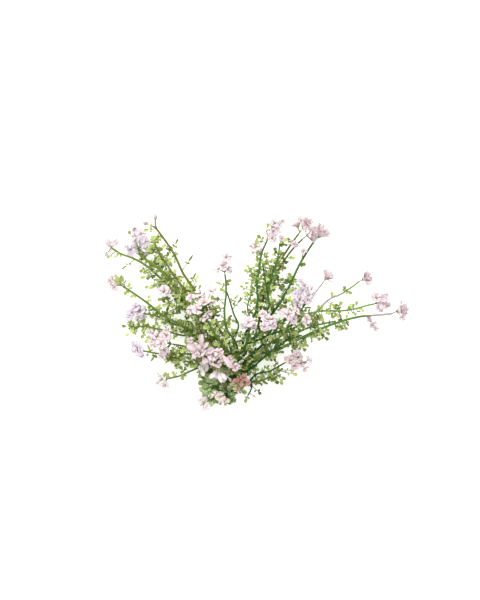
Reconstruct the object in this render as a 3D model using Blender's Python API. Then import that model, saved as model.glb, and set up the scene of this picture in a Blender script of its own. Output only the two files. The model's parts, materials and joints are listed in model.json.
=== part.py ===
"""Gypsophila spray, cut and lying on a flat surface.

A short main stem lies with its cut end on the surface and rises away from it. Leafy sprays grow from its sides,
arch over and come down again, so the plant rests on the cut end and on a few of its outer blossom heads. Each spray
is one body with its forks, leaf stalks and leaves. Each blossom head, or cluster of heads, is a body of its own on
the tip or the side of its stem.

The plant is described in millimetres, x to the right and y towards the tips, seen from above, z up from the
surface. The finished meshes are in metres.
"""

import math
import random

import bmesh
import bpy
import numpy as np
from mathutils import Vector

MM = 0.001
UP = Vector((0.0, 0.0, 1.0))
SEED = 2260

# Gaps
SEAT_GAP = 0.38
LEAF_GAP = 0.45
OWN_LEAF_GAP = 0.15
FLOOR_GAP = 0.3

# Stems
MAIN_SIDES = 6
MAIN_BASE_RADIUS = 2.4
MAIN_TIP_RADIUS = 1.5
MAIN_STEP = 6.0
TWIG_SIDES = 4
TWIG_STEP = 16.0
SEAT_STUB = 2.0
PROBE_STEP = 1.0

# Leaves
ROOT_INSET = 0.1
STALK_HALF = 0.38
NECK_HALF = 0.38
LEAF_THICKNESS = 0.9
LEAF_WIDTH_RATIO = 0.68
LEAF_WIDEST = 0.58
LEAF_CUP = 0.10
LONG_STALK = 3.4
TRIES = 5

FLAT_ANGLE = math.radians(1.0)

# Blossom heads
PETALS = 5
NOTCH_RADIUS = 0.40
SHOULDER_RADIUS = 0.95
SHOULDER_TURN = 0.36
SHOULDER_RISE = 0.26
TIP_RISE = 0.34
EYE_DEPTH = 0.06
FOOT_DEPTH = 0.62
FOOT_RADIUS = 0.9
STALK_RADIUS = 0.6
SMALL_FLOWER = 6.4
CLUSTER_SCALE = 0.87
LEAST_FACING = 0.6

MAIN_ROUTE = [
    (-27.0, -91.0, 2.0),
    (-25.5, -84.0, 1.92),
    (-24.0, -77.0, 1.8),
    (-21.5, -66.0, 6.5),
    (-19.5, -55.0, 15.0),
    (-19.0, -45.0, 26.0),
    (-19.0, -35.0, 38.0),
]


class Twig:
    """One stretch of green stem: its route, its radii, and the leaves along it.

    host is the number of the twig in the same spray that this one forks from, or None on the spray's first twig.
    pairs leaves are spread over span, a stretch given as fractions of the length, and marks are the places, seen
    from above, of leaves that stand clear of the rest.
    """

    def __init__(self, route, base=1.0, tip=0.75, host=None, pairs=0, span=(0.15, 0.92), leaf=5.4, marks=(), bud=0.0):
        self.route = [Vector(p) for p in route]
        self.base = base
        self.tip = tip
        self.host = host
        self.pairs = pairs
        self.span = span
        self.leaf = leaf
        self.marks = marks
        self.bud = bud
        self.curve = None


SPRAYS = {
    "spray_upper_left_arch": (0.88, [
        Twig([(-26, -32, 37), (-42, -8.5, 40), (-59, 20.5, 38), (-72, 38.5, 34), (-82.5, 60, 28), (-94.6, 78, 22),
              (-102, 87.5, 19)],
             base=1.0, tip=0.7, pairs=4, span=(0.05, 0.52),
             marks=[(-79, 71), (-93, 66.5), (-65, 53), (-61.5, 36), (-58, 35), (-65, 26), (-110, 83), (-110.5, 90)]),
        Twig([(-48, 3, 39), (-62, 18, 36), (-76, 29.5, 32), (-90.7, 51, 27), (-98.4, 62, 24), (-101, 68, 23)],
             base=0.8, tip=0.6, host=0, pairs=3, span=(0.2, 0.8),
             marks=[(-102, 76), (-98, 74), (-105, 67)]),
        Twig([(-101, 85, 19.3), (-101.5, 91, 20), (-101.3, 95, 21)], base=0.6, tip=0.5, host=0, bud=1.7),
    ]),
    "spray_upper_left": (0.77, [
        Twig([(-30, -36, 27), (-51, -11.5, 30), (-71, 13.5, 29), (-84, 29.5, 26), (-99, 46, 22), (-108.6, 52.5, 18),
              (-116, 58, 13)],
             base=1.1, tip=0.75, pairs=6, span=(0.12, 0.9),
             marks=[(-126, 82.5), (-109.6, 84), (-108, 77.5), (-113, 60.5), (-100, 55), (-94, 58)]),
        Twig([(-44, -21, 29), (-56, -6, 25), (-80, 19.5, 20), (-99, 38, 16), (-112, 49, 12), (-125, 56, 9),
              (-139, 61.5, 7), (-144, 65, 7)],
             base=0.9, tip=0.6, host=0, pairs=4, span=(0.2, 0.75),
             marks=[(-131, 46), (-115, 42), (-113, 35), (-108, 34.5), (-109, 24.5), (-104, 24), (-101, 27),
                    (-148, 56), (-140, 58)]),
        Twig([(-60, -1, 24), (-78, 6.5, 25), (-85, 8.5, 27), (-90, 16, 28)],
             base=0.7, tip=0.6, host=1, pairs=2, span=(0.3, 0.8), marks=[(-97, 13), (-91.5, 7.5)]),
    ]),
    "spray_left_high": (0.66, [
        Twig([(-32, -40, 22), (-56, -22, 24), (-73.5, -12.5, 23), (-94, -2, 19), (-108.6, 9.7, 14), (-127.7, 23, 9),
              (-134, 27, 8)],
             base=1.0, tip=0.7, pairs=4, span=(0.12, 0.72),
             marks=[(-139.5, 37), (-134, 35), (-127, 29), (-131, 20.5), (-124.5, 17), (-107, 16.5), (-85, 1)]),
    ]),
    "spray_left_mid": (0.55, [
        Twig([(-32, -46, 16), (-51, -29, 17), (-66, -19, 16), (-88, -8.5, 13), (-105, -1.5, 10), (-112, -0.5, 9)],
             base=1.0, tip=0.7, pairs=4, span=(0.15, 0.85),
             marks=[(-124, 12), (-113.5, 8.5), (-107, 6)]),
        Twig([(-60, -23, 16), (-76, -22, 12), (-91, -17.5, 9), (-103.5, -15, 7), (-113, -13, 6), (-122, -14.5, 6)],
             base=0.8, tip=0.6, host=0, pairs=2, span=(0.2, 0.7),
             marks=[(-133.5, -12.5), (-129, -22.5), (-126, -7.5), (-119, -6), (-124.5, -18), (-114, -17.5),
                    (-108, -19), (-113.5, -24), (-116, -28), (-108.5, -28.5)]),
    ]),
    "spray_left_front": (0.50, [
        Twig([(-31, -54, 17), (-46, -42, 23), (-60, -36, 26), (-72, -33, 28), (-83, -31, 28)],
             base=0.9, tip=0.7, pairs=3, span=(0.2, 0.95), marks=[(-78, -39), (-86, -42)]),
    ]),
    "spray_left_low": (0.38, [
        Twig([(-31, -56, 10), (-46, -46, 13), (-64.7, -41.5, 12), (-79, -40.5, 10), (-100, -40.5, 8), (-114, -38, 7)],
             base=0.9, tip=0.65, pairs=3, span=(0.15, 0.62), marks=[(-103, -45.5), (-107, -37)]),
        Twig([(-40, -49, 12), (-52, -51.5, 9), (-61, -51, 8), (-72, -48, 7), (-84, -44.5, 6)],
             base=0.7, tip=0.6, host=0, pairs=2, span=(0.15, 0.95), marks=[(-88, -47)]),
        Twig([(-45, -50, 10.5), (-47.5, -52, 13), (-49.5, -53, 14.5)], base=0.6, tip=0.55, host=1),
    ]),
    "spray_left_bottom": (0.29, [
        Twig([(-33, -63, 6), (-46, -57, 7.5), (-57, -55, 8), (-65, -58, 8), (-76, -63, 7.5), (-88, -66, 7)],
             base=0.9, tip=0.7, pairs=3, span=(0.3, 0.85), marks=[(-91, -60.5), (-83, -60)]),
    ]),
    "spray_centre_tall": (1.0, [
        Twig([(-22, -26, 46), (-29, -16, 50), (-31.5, 2.7, 50), (-30, 18, 48), (-30, 29.5, 46), (-31, 39, 44)],
             base=0.9, tip=0.7, pairs=2, span=(0.12, 0.45), marks=[(-36.5, 29), (-34.5, 23), (-26, 32)]),
        Twig([(-23, -24, 46.5), (-17.5, -13, 46.5), (-22.5, 0, 46), (-26.3, 13, 44.5), (-30.5, 25, 42)],
             base=0.8, tip=0.6, host=0, pairs=0, marks=[(-20, 15), (-16, 11), (-21, -8)]),
    ]),
    "spray_centre_left": (0.95, [
        Twig([(-28, -38, 44), (-36, -28, 50), (-44, -15.5, 54), (-49, -6, 55), (-52, 0, 55.5)],
             base=0.9, tip=0.75, pairs=2, span=(0.2, 0.9), marks=[(-42, 15), (-37.5, 8.5), (-42, 0.5), (-39, 4.5)]),
    ]),
    "spray_centre_front": (0.62, [
        Twig([(-25, -56, 28), (-33, -52, 34), (-42, -49, 37), (-50, -43, 40)],
             base=0.9, tip=0.7, pairs=1, span=(0.3, 0.9)),
        Twig([(-32, -53, 33), (-36, -50, 38), (-38, -47, 42)], base=0.7, tip=0.6, host=0),
        Twig([(-26, -56, 29), (-23, -54, 36), (-24, -51, 41)], base=0.7, tip=0.6, host=0),
    ]),
    "spray_top": (0.83, [
        Twig([(-12, -24, 38), (-4, -6, 43), (2, 7.8, 44), (1.4, 21, 44), (1.2, 33.5, 43), (3, 41.5, 42),
              (4.5, 54.5, 39), (7, 64, 37), (10.3, 71, 35), (12, 76, 34)],
             base=1.1, tip=0.7, pairs=5, span=(0.3, 0.8), marks=[(2.5, 76), (11, 88), (27, 74), (-6, 41), (-9, 46)]),
        Twig([(-2, -2, 43.5), (6, 2, 40), (12.6, 6, 38), (12, 18, 37), (10, 30.7, 37), (8, 42, 37), (6, 54, 38)],
             base=0.9, tip=0.6, host=0, pairs=2, span=(0.3, 0.85), marks=[(16, 13)]),
        Twig([(11.5, 22, 37), (16, 38.5, 38), (21, 53, 37), (23, 62.5, 36), (23.6, 69, 35)],
             base=0.7, tip=0.55, host=1, pairs=4, span=(0.15, 0.9), marks=[(30, 73)]),
        Twig([(-4.5, -6, 43), (-8.5, 4, 42), (-6, 16, 41.5), (-1, 25, 42)], base=0.6, tip=0.5, host=0, pairs=1,
             span=(0.3, 0.95)),
    ]),
    "spray_upper_right": (0.73, [
        Twig([(-8, -35, 27), (6, -13, 27), (22.8, 8.5, 25), (35, 30, 21), (43.4, 48, 17), (50.4, 60, 14),
              (59, 73, 10)],
             base=1.1, tip=0.8, pairs=4, span=(0.2, 0.62), marks=[(32, 12), (41, 33), (34, 38), (47, 49)]),
        Twig([(-1, -23, 27.5), (4, -4, 31), (6.5, 13.5, 31.5), (14, 28.5, 30), (21, 41.5, 28), (28.7, 53.7, 25),
              (36.4, 64, 23), (46.5, 74.5, 21)],
             base=0.9, tip=0.7, host=0, pairs=2, span=(0.35, 0.75), marks=[(26, 33), (37, 55)]),
        Twig([(4, -5, 30.7), (0, 4, 27), (7, 19.5, 23), (14, 33.5, 21), (19, 45, 19), (27.5, 57.5, 17),
              (36.4, 71, 15), (43, 80, 13)],
             base=0.9, tip=0.7, host=1, pairs=2, span=(0.3, 0.7), marks=[(29, 29)]),
    ]),
    "spray_right_top": (0.63, [
        Twig([(-9, -45, 23), (4, -34, 28), (24, -12, 34), (38, 4, 37)],
             base=1.0, tip=0.75, pairs=2, span=(0.3, 0.9)),
        Twig([(28, -8, 35), (44, 1.5, 33), (49, 8.5, 31), (56, 15, 29), (62, 24, 26), (66, 29, 24)],
             base=0.7, tip=0.6, host=0, pairs=1, span=(0.15, 0.5)),
    ]),
    "spray_right_high": (0.50, [
        Twig([(-9, -49, 16), (10, -33, 20), (34, -17.5, 22), (54, -5, 20), (63.7, 4, 18), (73.6, 14, 15),
              (85, 19, 12), (99, 28, 8), (104, 32, 7)],
             base=1.0, tip=0.65, pairs=3, span=(0.25, 0.62), marks=[(94, 21), (89, 26), (78, 7), (77, 17.5)]),
        Twig([(28, -21.5, 21.5), (42, -7, 26), (58, 1, 27), (70, 2.7, 26), (83, 2.5, 24), (99.7, 4.5, 20),
              (112, 8, 16), (119, 9.5, 14)],
             base=0.8, tip=0.7, host=0, pairs=3, span=(0.3, 0.85), marks=[(84, 10), (95, 8.5), (107, 3), (76, -3)]),
    ]),
    "spray_right_long": (0.37, [
        Twig([(-12, -57, 8), (12, -42, 12), (24, -36, 14), (41.4, -27, 14), (62.5, -17, 13), (81.6, -9.5, 12),
              (104, -3.5, 10), (127.8, -1.3, 9), (137, -0.5, 8.5)],
             base=1.1, tip=0.7, pairs=4, span=(0.12, 0.75),
             marks=[(90, -15.5), (83, -16.5), (70, -26.5), (63, -27), (72, -21), (48, -38), (45, -33), (51, -40)]),
        Twig([(20, -38, 13.7), (30, -27, 16), (44, -18.5, 16.5), (57.4, -13, 16), (70, -10, 14.5), (80, -8, 13)],
             base=0.7, tip=0.6, host=0, pairs=2, span=(0.2, 0.8)),
        Twig([(112, -2.5, 9.7), (115, -5.5, 9), (117, -8, 8)], base=0.55, tip=0.5, host=0),
    ]),
    "spray_right_low": (0.27, [
        Twig([(-12, -69, 6), (1.4, -69, 8), (15.5, -63.5, 10), (27, -55.5, 12)],
             base=0.9, tip=0.7, pairs=1, span=(0.4, 0.9),
             marks=[(36, -58.5), (39, -63), (20, -71), (27, -66.5), (25, -72)]),
        Twig([(-8, -69.5, 6.6), (0, -62, 10), (14.8, -58, 13), (29, -50, 15)],
             base=0.7, tip=0.6, host=0, pairs=1, span=(0.3, 0.8)),
        Twig([(-4, -69.5, 7.1), (-5, -77.5, 7), (-8, -83, 6)],
             base=0.6, tip=0.5, host=0, marks=[(5, -79.5), (-9.7, -88)]),
    ]),
    "spray_centre_right": (0.91, [
        Twig([(-11, -33, 44), (-8, -24, 49), (-7, -17, 51)], base=1.0, tip=0.75, pairs=1, span=(0.3, 0.9)),
        Twig([(-9.5, -29, 47), (0, -22, 50), (8, -14, 52)], base=0.8, tip=0.7, host=0, pairs=1, span=(0.3, 0.9)),
        Twig([(-10.5, -31, 45.5), (8, -24, 46), (22, -10, 48), (29, -5, 50)],
             base=0.8, tip=0.7, host=0, pairs=2, span=(0.3, 0.9)),
        Twig([(8, -24, 46), (28, -16, 43), (42, -8, 43), (46, -6, 43.5)],
             base=0.7, tip=0.6, host=2, pairs=2, span=(0.3, 0.9)),
    ]),
    "spray_bottom": (0.19, [
        Twig([(-32, -79, 8), (-38, -77, 12), (-42, -75, 15)], base=1.0, tip=0.8, leaf=7.5,
             marks=[(-51, -74), (-49, -81), (-44, -84), (-37, -83.5), (-34, -70), (-40, -66.5), (-47, -67.5),
                    (-51.5, -70)]),
        Twig([(-34, -78.5, 9.5), (-40, -84, 8), (-47, -88, 8)],
             base=0.8, tip=0.65, host=0, marks=[(-44, -92), (-38, -90)]),
        Twig([(-29, -80, 7), (-30, -84, 12), (-33, -85, 15)],
             base=0.7, tip=0.6, host=0, marks=[(-25, -88)], leaf=7.0),
        Twig([(-38, -77, 12), (-37, -71, 17), (-35, -66, 19.5)], base=0.7, tip=0.6, host=0),
    ]),
    "spray_bottom_right": (0.24, [
        Twig([(-19, -78.5, 9), (-17, -76, 14), (-17, -72, 19)],
             base=0.8, tip=0.7, leaf=6.5, marks=[(-12, -79), (-26, -66), (-11, -72)]),
    ]),
    "spray_heart_left": (0.70, [
        Twig([(-28, -46, 30), (-42, -33, 35), (-56, -20, 36), (-66, -8, 35)],
             base=0.8, tip=0.6, pairs=4, span=(0.2, 0.98)),
        Twig([(-38, -36.5, 34), (-54, -32, 33), (-68, -24, 32)],
             base=0.7, tip=0.6, host=0, pairs=2, span=(0.2, 0.98)),
    ]),
    "spray_heart_right": (0.55, [
        Twig([(-10, -58, 20), (4, -48, 27), (20, -34, 29), (34, -26, 28), (46, -22, 26)],
             base=0.8, tip=0.6, pairs=4, span=(0.15, 0.98)),
        Twig([(-6, -55.5, 22), (-4, -46, 31), (0, -34, 36)],
             base=0.7, tip=0.6, host=0, pairs=2, span=(0.25, 0.98)),
    ]),
}

# Each head or cluster: its spray, the number of the twig, the fraction of that twig where it sits (1 is the tip),
# and its flowers as x, y, z and radius.
BLOOMS = {
    "bloom_upper_left_near": ("spray_upper_left", 0, 1.0, [
        (-118, 66, 6, 6.2), (-110, 66, 14, 5.6), (-128, 64, 5, 5.4), (-111.5, 74, 10, 5.4), (-116, 82, 7, 5.2),
        (-124, 85, 5, 3.6)]),
    "bloom_upper_left_far": ("spray_upper_left", 1, 1.0, [
        (-149, 72, 6, 4.6), (-141.5, 71.5, 9, 4.0), (-151.5, 60, 4.5, 2.6)]),
    "bloom_upper_left_side": ("spray_upper_left", 2, 1.0, [(-92, 23, 32, 6.0)]),
    "bloom_left_high": ("spray_left_high", 0, 1.0, [(-142, 33, 8, 5.2), (-146, 28.5, 5, 4.4), (-146, 36.5, 6, 3.8)]),
    "bloom_left_mid": ("spray_left_mid", 0, 1.0, [(-118.5, 4, 9, 6.0), (-126.5, 1, 7, 6.2), (-122, 7.5, 12, 4.8)]),
    "bloom_left_front": ("spray_left_front", 0, 1.0, [
        (-91, -21.5, 31, 6.0), (-100, -22.5, 28, 6.2), (-96, -30, 34, 6.2), (-93, -37, 30, 5.8), (-95, -44, 25, 4.2)]),
    "bloom_left_low": ("spray_left_low", 0, 1.0, [(-121, -36.5, 7.5, 6.6)]),
    "bloom_left_bottom": ("spray_left_bottom", 0, 1.0, [(-96.5, -67, 8, 6.0), (-91.5, -74, 6, 4.2)]),
    "bloom_centre_tall": ("spray_centre_tall", 0, 1.0, [
        (-32.5, 48.5, 44, 5.4), (-38, 45, 41, 4.4), (-27, 44.5, 42, 4.4), (-29.5, 57, 43, 5.8)]),
    "bloom_centre_left": ("spray_centre_left", 0, 1.0, [
        (-51.5, 12, 60, 6.0), (-56, 21, 57, 5.8), (-45, 23, 54, 5.0), (-65, 16.5, 56, 5.2), (-59, 4.5, 61.5, 5.4),
        (-66, 3.5, 55, 4.8)]),
    "bloom_centre_front_left": ("spray_centre_front", 0, 1.0, [
        (-55, -26, 46, 5.8), (-64, -33.5, 42, 6.0), (-50, -31, 49, 5.6), (-56, -38.5, 46, 6.2)]),
    "bloom_centre_front": ("spray_centre_front", 1, 1.0, [
        (-43, -42, 47, 5.8), (-45, -49, 43, 4.6), (-36.5, -38.5, 50, 5.0)]),
    "bloom_centre_front_right": ("spray_centre_front", 2, 1.0, [(-26.5, -45.5, 46, 5.4), (-20.5, -54, 48, 4.8)]),
    "bloom_top_left": ("spray_top", 0, 0.86, [(-0.5, 68.5, 39, 5.6)]),
    "bloom_top": ("spray_top", 0, 1.0, [
        (18.5, 83, 34, 5.6), (19, 92, 32, 5.4), (17, 75.5, 37, 4.6), (27.5, 93, 30, 3.6)]),
    "bloom_top_right": ("spray_top", 2, 1.0, [(26.5, 75.5, 31, 4.0)]),
    "bloom_crown_right": ("spray_upper_right", 0, 1.0, [(65, 80, 8, 7.6)]),
    "bloom_crown_centre": ("spray_upper_right", 1, 1.0, [(53.5, 78.5, 22, 6.2)]),
    "bloom_crown_left": ("spray_upper_right", 2, 1.0, [(50, 88, 8, 7.0), (42, 88.5, 7, 4.8)]),
    "floret_right": ("spray_upper_right", 0, 0.84, [(48, 63.5, 20, 3.2)]),
    "floret_centre": ("spray_upper_right", 1, 0.89, [(39.5, 70, 27, 3.4)]),
    "bloom_right_top": ("spray_right_top", 0, 1.0, [
        (45, 15, 41, 6.0), (53.5, 20, 39, 5.8), (49.5, 28.5, 38, 5.2)]),
    "bloom_right_top_tip": ("spray_right_top", 1, 1.0, [(71, 35.5, 22, 5.4)]),
    "bloom_right_high": ("spray_right_high", 0, 1.0, [(110, 35, 7, 5.8)]),
    "bloom_right_far": ("spray_right_high", 1, 1.0, [
        (122, 16.5, 13, 5.8), (130.5, 15, 9, 5.6), (126.5, 6, 11, 5.6), (134, 7.5, 7, 4.0)]),
    "bloom_right_tip": ("spray_right_long", 0, 1.0, [(146, 2.5, 8.5, 7.4)]),
    "bloom_right_hanging": ("spray_right_long", 2, 1.0, [(118.5, -12.5, 6, 3.8)]),
    "bloom_right_low": ("spray_right_low", 1, 1.0, [
        (36, -47, 17, 5.8), (44, -44, 14, 5.4), (40, -53.5, 15, 4.8), (47, -51, 11, 4.2)]),
    "bloom_heart_left": ("spray_centre_right", 0, 1.0, [(-8, -8, 55, 6.4), (-2, -12, 52, 4.6), (-13, -12, 51, 4.4)]),
    "bloom_heart_centre": ("spray_centre_right", 1, 1.0, [
        (11.5, -5, 56, 6.4), (8, -13.5, 59, 4.6), (17, -11, 54, 5.2), (6.5, 0.5, 52, 4.4)]),
    "bloom_heart_right": ("spray_centre_right", 2, 1.0, [
        (33, 0, 53, 6.2), (27.5, 2, 51, 4.6), (38, -5.5, 51, 5.2), (41, 3, 48, 4.2)]),
    "bloom_heart_side": ("spray_centre_right", 3, 1.0, [(51.5, -6, 44, 4.6)]),
    "bloom_bottom_left": ("spray_bottom", 1, 1.0, [(-55.5, -91.5, 7, 7.0)]),
    "bloom_bottom_cream": ("spray_bottom", 2, 1.0, [(-36, -84, 20, 4.6)]),
    "bloom_low_pale": ("spray_bottom", 3, 1.0, [(-38.5, -59.5, 25, 5.2), (-30, -59.5, 23, 4.4)]),
    "bloom_low_pale_side": ("spray_left_low", 2, 1.0, [(-53.6, -54.5, 18, 5.2)]),
    "bloom_bottom_coral": ("spray_bottom_right", 0, 1.0, [(-17, -69, 25, 5.6), (-23, -74, 21, 4.4)]),
}

# The heads that touch the surface, and how far their lowest petal would press into it.
RESTING = ("bloom_upper_left_near", "bloom_left_high", "bloom_crown_right", "bloom_right_tip", "bloom_bottom_left")
PRESS = 0.02

GREEN_DEEP = (0.07, 0.16, 0.035)
GREEN_LEAF = (0.17, 0.27, 0.065)
GREEN_LIME = (0.30, 0.42, 0.12)
PINK_PALE = (0.78, 0.60, 0.66)
PINK_LILAC = (0.68, 0.55, 0.68)
PINK_CORAL = (0.80, 0.25, 0.25)
CREAM = (0.83, 0.78, 0.62)
LIME_SPRAYS = ("spray_upper_left_arch", "spray_left_mid", "spray_left_low", "spray_left_bottom", "spray_centre_front")
LILAC_BLOOMS = ("bloom_left_low", "bloom_left_mid", "bloom_upper_left_near", "bloom_right_top")


class Curve:
    """The line of short straight runs that a stem's tube follows, measured along its length.

    It is drawn as a smooth line through a few points first, with STEPS runs between each two, and then kept at
    places about a step apart, and at the end of a stub where there is one. ways are its directions there.
    """

    STEPS = 10

    def __init__(self, points, step, stub=0.0):
        self.draw(points)
        count = max(2, round(self.length / step))
        fractions = [k / count for k in range(count + 1)]
        if stub:
            fractions.insert(1, stub / self.length)
        kept = [self.at(fraction) for fraction in fractions]
        self.ways = [way for _, way in kept]
        self.measure([point for point, _ in kept])

    def draw(self, points):
        spans = [(b - a).length for a, b in zip(points, points[1:])]
        runs = [(b - a) / span for a, b, span in zip(points, points[1:], spans)]
        ways = [runs[0]]
        for k in range(1, len(runs)):
            ways.append((runs[k - 1] * spans[k] + runs[k] * spans[k - 1]) / (spans[k - 1] + spans[k]))
        ways.append(runs[-1])
        line = []
        for k, span in enumerate(spans):
            for step in range(self.STEPS):
                line.append(self.between(points[k], ways[k] * span, points[k + 1], ways[k + 1] * span, step / self.STEPS))
        line.append(points[-1].copy())
        self.measure(line)

    def measure(self, line):
        self.line = line
        self.reach = [0.0]
        for a, b in zip(line, line[1:]):
            self.reach.append(self.reach[-1] + (b - a).length)
        self.length = self.reach[-1]

    @staticmethod
    def between(a, way_a, b, way_b, t):
        """The Hermite point at t between a and b."""
        bend = t * t * (3 - 2 * t)
        return a * (1 - bend) + b * bend + way_a * (t * (1 - t) ** 2) - way_b * (t * t * (1 - t))

    def at(self, fraction):
        """The point and the direction at a fraction of the length."""
        goal = min(max(fraction, 0.0), 1.0) * self.length
        k = int(np.searchsorted(self.reach, goal))
        k = min(max(k, 1), len(self.line) - 1)
        a, b = self.line[k - 1], self.line[k]
        share = (goal - self.reach[k - 1]) / max(self.reach[k] - self.reach[k - 1], 1e-9)
        return a.lerp(b, share), (b - a).normalized()

    def end(self):
        """The last point and the way in which the tube ends there."""
        return self.line[-1], self.ways[-1]

    def nearest(self, place, flat=False):
        """The fraction of the length that lies nearest to a place, seen from above when flat."""
        goal = Vector((place[0], place[1], 0.0 if flat else place[2]))
        count = round(self.length / PROBE_STEP)
        best, found = None, 0.0
        for k in range(count + 1):
            point, _ = self.at(k / count)
            spot = Vector((point.x, point.y, 0.0)) if flat else point
            distance = (spot - goal).length
            if best is None or distance < best:
                best, found = distance, k / count
        return found


class Room:
    """The space already taken, as balls that each belong to a node."""

    def __init__(self, size=12000):
        self.balls = np.zeros((size, 4))
        self.owner = np.full(size, -1)
        self.leafy = np.zeros(size, dtype=bool)
        self.count = 0

    def take(self, balls, owner, leafy=False):
        for centre, radius in balls:
            self.balls[self.count] = (*centre, radius)
            self.owner[self.count] = owner
            self.leafy[self.count] = leafy
            self.count += 1

    def is_clear(self, balls, owner):
        """Whether balls keep LEAF_GAP to other nodes and OWN_LEAF_GAP to the leaves of their own."""
        taken = self.balls[: self.count]
        own = self.owner[: self.count] == owner
        watched = ~own | self.leafy[: self.count]
        gap = np.where(own, OWN_LEAF_GAP, LEAF_GAP)
        for centre, radius in balls:
            distance = np.linalg.norm(taken[:, :3] - np.array(centre), axis=1) - taken[:, 3] - radius
            if np.any(watched & (distance < gap)):
                return False
        return True


class Leaf:
    """A spoon-shaped leaf on its stalk."""

    def __init__(self, root, direction, facing, stalk, length, width):
        self.root = root
        self.along = direction.normalized()
        self.normal = (facing - facing.dot(self.along) * self.along).normalized()
        self.across = self.along.cross(self.normal)
        self.stalk = stalk
        self.length = length
        self.width = width

    def place(self, x, y, z):
        return self.root + self.across * x + self.along * y + self.normal * z

    def balls(self):
        """Balls that cover the blade, and the stalk where it is long."""
        sizes = ((0.30, 0.30), (0.60, 0.50), (0.88, 0.26))
        result = [(self.place(0, self.stalk + self.length * at, 0), self.width * half) for at, half in sizes]
        for k in range(2, int(self.stalk)):
            result.append((self.place(0, k, 0), STALK_HALF))
        return result

    def solid(self):
        """Three-cornered rings along the stalk and the blade, closed by the leaf's tip."""
        widest = self.stalk + self.length * LEAF_WIDEST
        cup = self.length * LEAF_CUP
        rings = [(ROOT_INSET, STALK_HALF, 0.25, -0.40)]
        if self.stalk > LONG_STALK:
            rings.append((self.stalk, NECK_HALF, 0.25, -0.40))
        rings.append((widest, self.width / 2, cup, cup - LEAF_THICKNESS))
        corners = []
        for y, half, top, keel in rings:
            corners += [self.place(-half, y, top), self.place(half, y, top), self.place(0, y, keel)]
        corners.append(self.place(0, self.stalk + self.length, 0))
        faces = [(0, 1, 2)]
        for k in range(0, 3 * len(rings) - 3, 3):
            for a, b in ((0, 1), (1, 2), (2, 0)):
                faces += [(k + a, k + 3 + a, k + b), (k + b, k + 3 + a, k + 3 + b)]
        tip = len(corners) - 1
        faces += [(tip - 3, tip, tip - 2), (tip - 2, tip, tip - 1), (tip - 1, tip, tip - 3)]
        return corners, faces


def tube_solid(points, ways, radii, sides, first=None, turn=0.0):
    """A closed tube of flat sides along points, across the way that it runs at each, with each one's radius."""
    corners = []
    across = first or ways[0].orthogonal()
    for point, way, radius in zip(points, ways, radii):
        across = (across - across.dot(way) * way).normalized()
        other = way.cross(across)
        for k in range(sides):
            angle = turn + 2 * math.pi * k / sides
            corners.append(point + across * (radius * math.cos(angle)) + other * (radius * math.sin(angle)))
    faces = [tuple(reversed(range(sides)))]
    for ring in range(len(points) - 1):
        for k in range(sides):
            a = ring * sides + k
            b = ring * sides + (k + 1) % sides
            faces += [(a, b, b + sides), (a, b + sides, a + sides)]
    last = (len(points) - 1) * sides
    faces.append(tuple(range(last, last + sides)))
    return corners, faces


def curve_tube(curve, base, tip, sides, **shape):
    """A tube that follows a curve and tapers from base to tip."""
    radii = [base + (tip - base) * reach / curve.length for reach in curve.reach]
    return tube_solid(curve.line, curve.ways, radii, sides, **shape)


def bud_solid(tip, direction, radius):
    """A pointed bud on the end of a twig."""
    points = [tip - direction * radius * 0.6, tip + direction * radius * 0.5, tip + direction * radius * 1.9]
    return tube_solid(points, [direction] * 3, [0.45 * radius, radius, 0.25 * radius], TWIG_SIDES)


def petal_edge(middle, radius):
    """The angle, reach and rise of the points round one petal, from the notch before it."""
    edge = [(middle - math.pi / PETALS, NOTCH_RADIUS, 0.0), (middle - SHOULDER_TURN, SHOULDER_RADIUS, SHOULDER_RISE)]
    if radius > SMALL_FLOWER:
        edge.append((middle, 1.0, TIP_RISE))
    edge.append((middle + SHOULDER_TURN, SHOULDER_RADIUS, SHOULDER_RISE))
    return edge


def flower_solid(flower, start, away):
    """A flower of broad petals with a notch between each two, on a stalk that starts across the way away."""
    centre, axis, radius, turn = flower
    u = axis.orthogonal().normalized()
    v = axis.cross(u)
    corners = []
    for petal in range(PETALS):
        for angle, out, rise in petal_edge(turn + 2 * math.pi * petal / PETALS, radius):
            flat = u * math.cos(angle) + v * math.sin(angle)
            corners.append(centre + flat * (radius * out) + axis * (radius * rise))
    rim = len(corners)
    each = rim // PETALS
    foot = centre - axis * (radius * FOOT_DEPTH)
    for petal in range(PETALS):
        angle = turn + 2 * math.pi * (petal - 0.5) / PETALS
        corners.append(foot + (u * math.cos(angle) + v * math.sin(angle)) * FOOT_RADIUS)
    for petal in range(PETALS):
        out = corners[rim + petal] - foot
        corners.append(start + (out - out.dot(away) * away).normalized() * STALK_RADIUS)
    eye = len(corners)
    corners.append(centre - axis * (radius * EYE_DEPTH))
    faces = [tuple(range(rim + PETALS, rim + 2 * PETALS))]
    for k in range(rim):
        faces.append((k, (k + 1) % rim, eye))
    for petal in range(PETALS):
        a, b = rim + petal, rim + (petal + 1) % PETALS
        middle = each * petal + each // 2
        for k in range(each * petal, middle):
            faces.append((k + 1, k, a))
        faces.append((middle, a, b))
        for k in range(middle, each * petal + each):
            faces.append(((k + 1) % rim, k, b))
        faces += [(a, a + PETALS, b), (b, a + PETALS, b + PETALS)]
    return corners, faces


def seat_on_side(curve, base, tip, fraction, towards):
    """Where a stub starts on the side of a stem that tapers from base to tip, and the way it leaves."""
    centre, along = curve.at(fraction)
    away = Vector(towards) - centre
    away = (away - away.dot(along) * along).normalized()
    radius = base + (tip - base) * fraction
    return centre + away * (radius + SEAT_GAP), away


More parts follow.
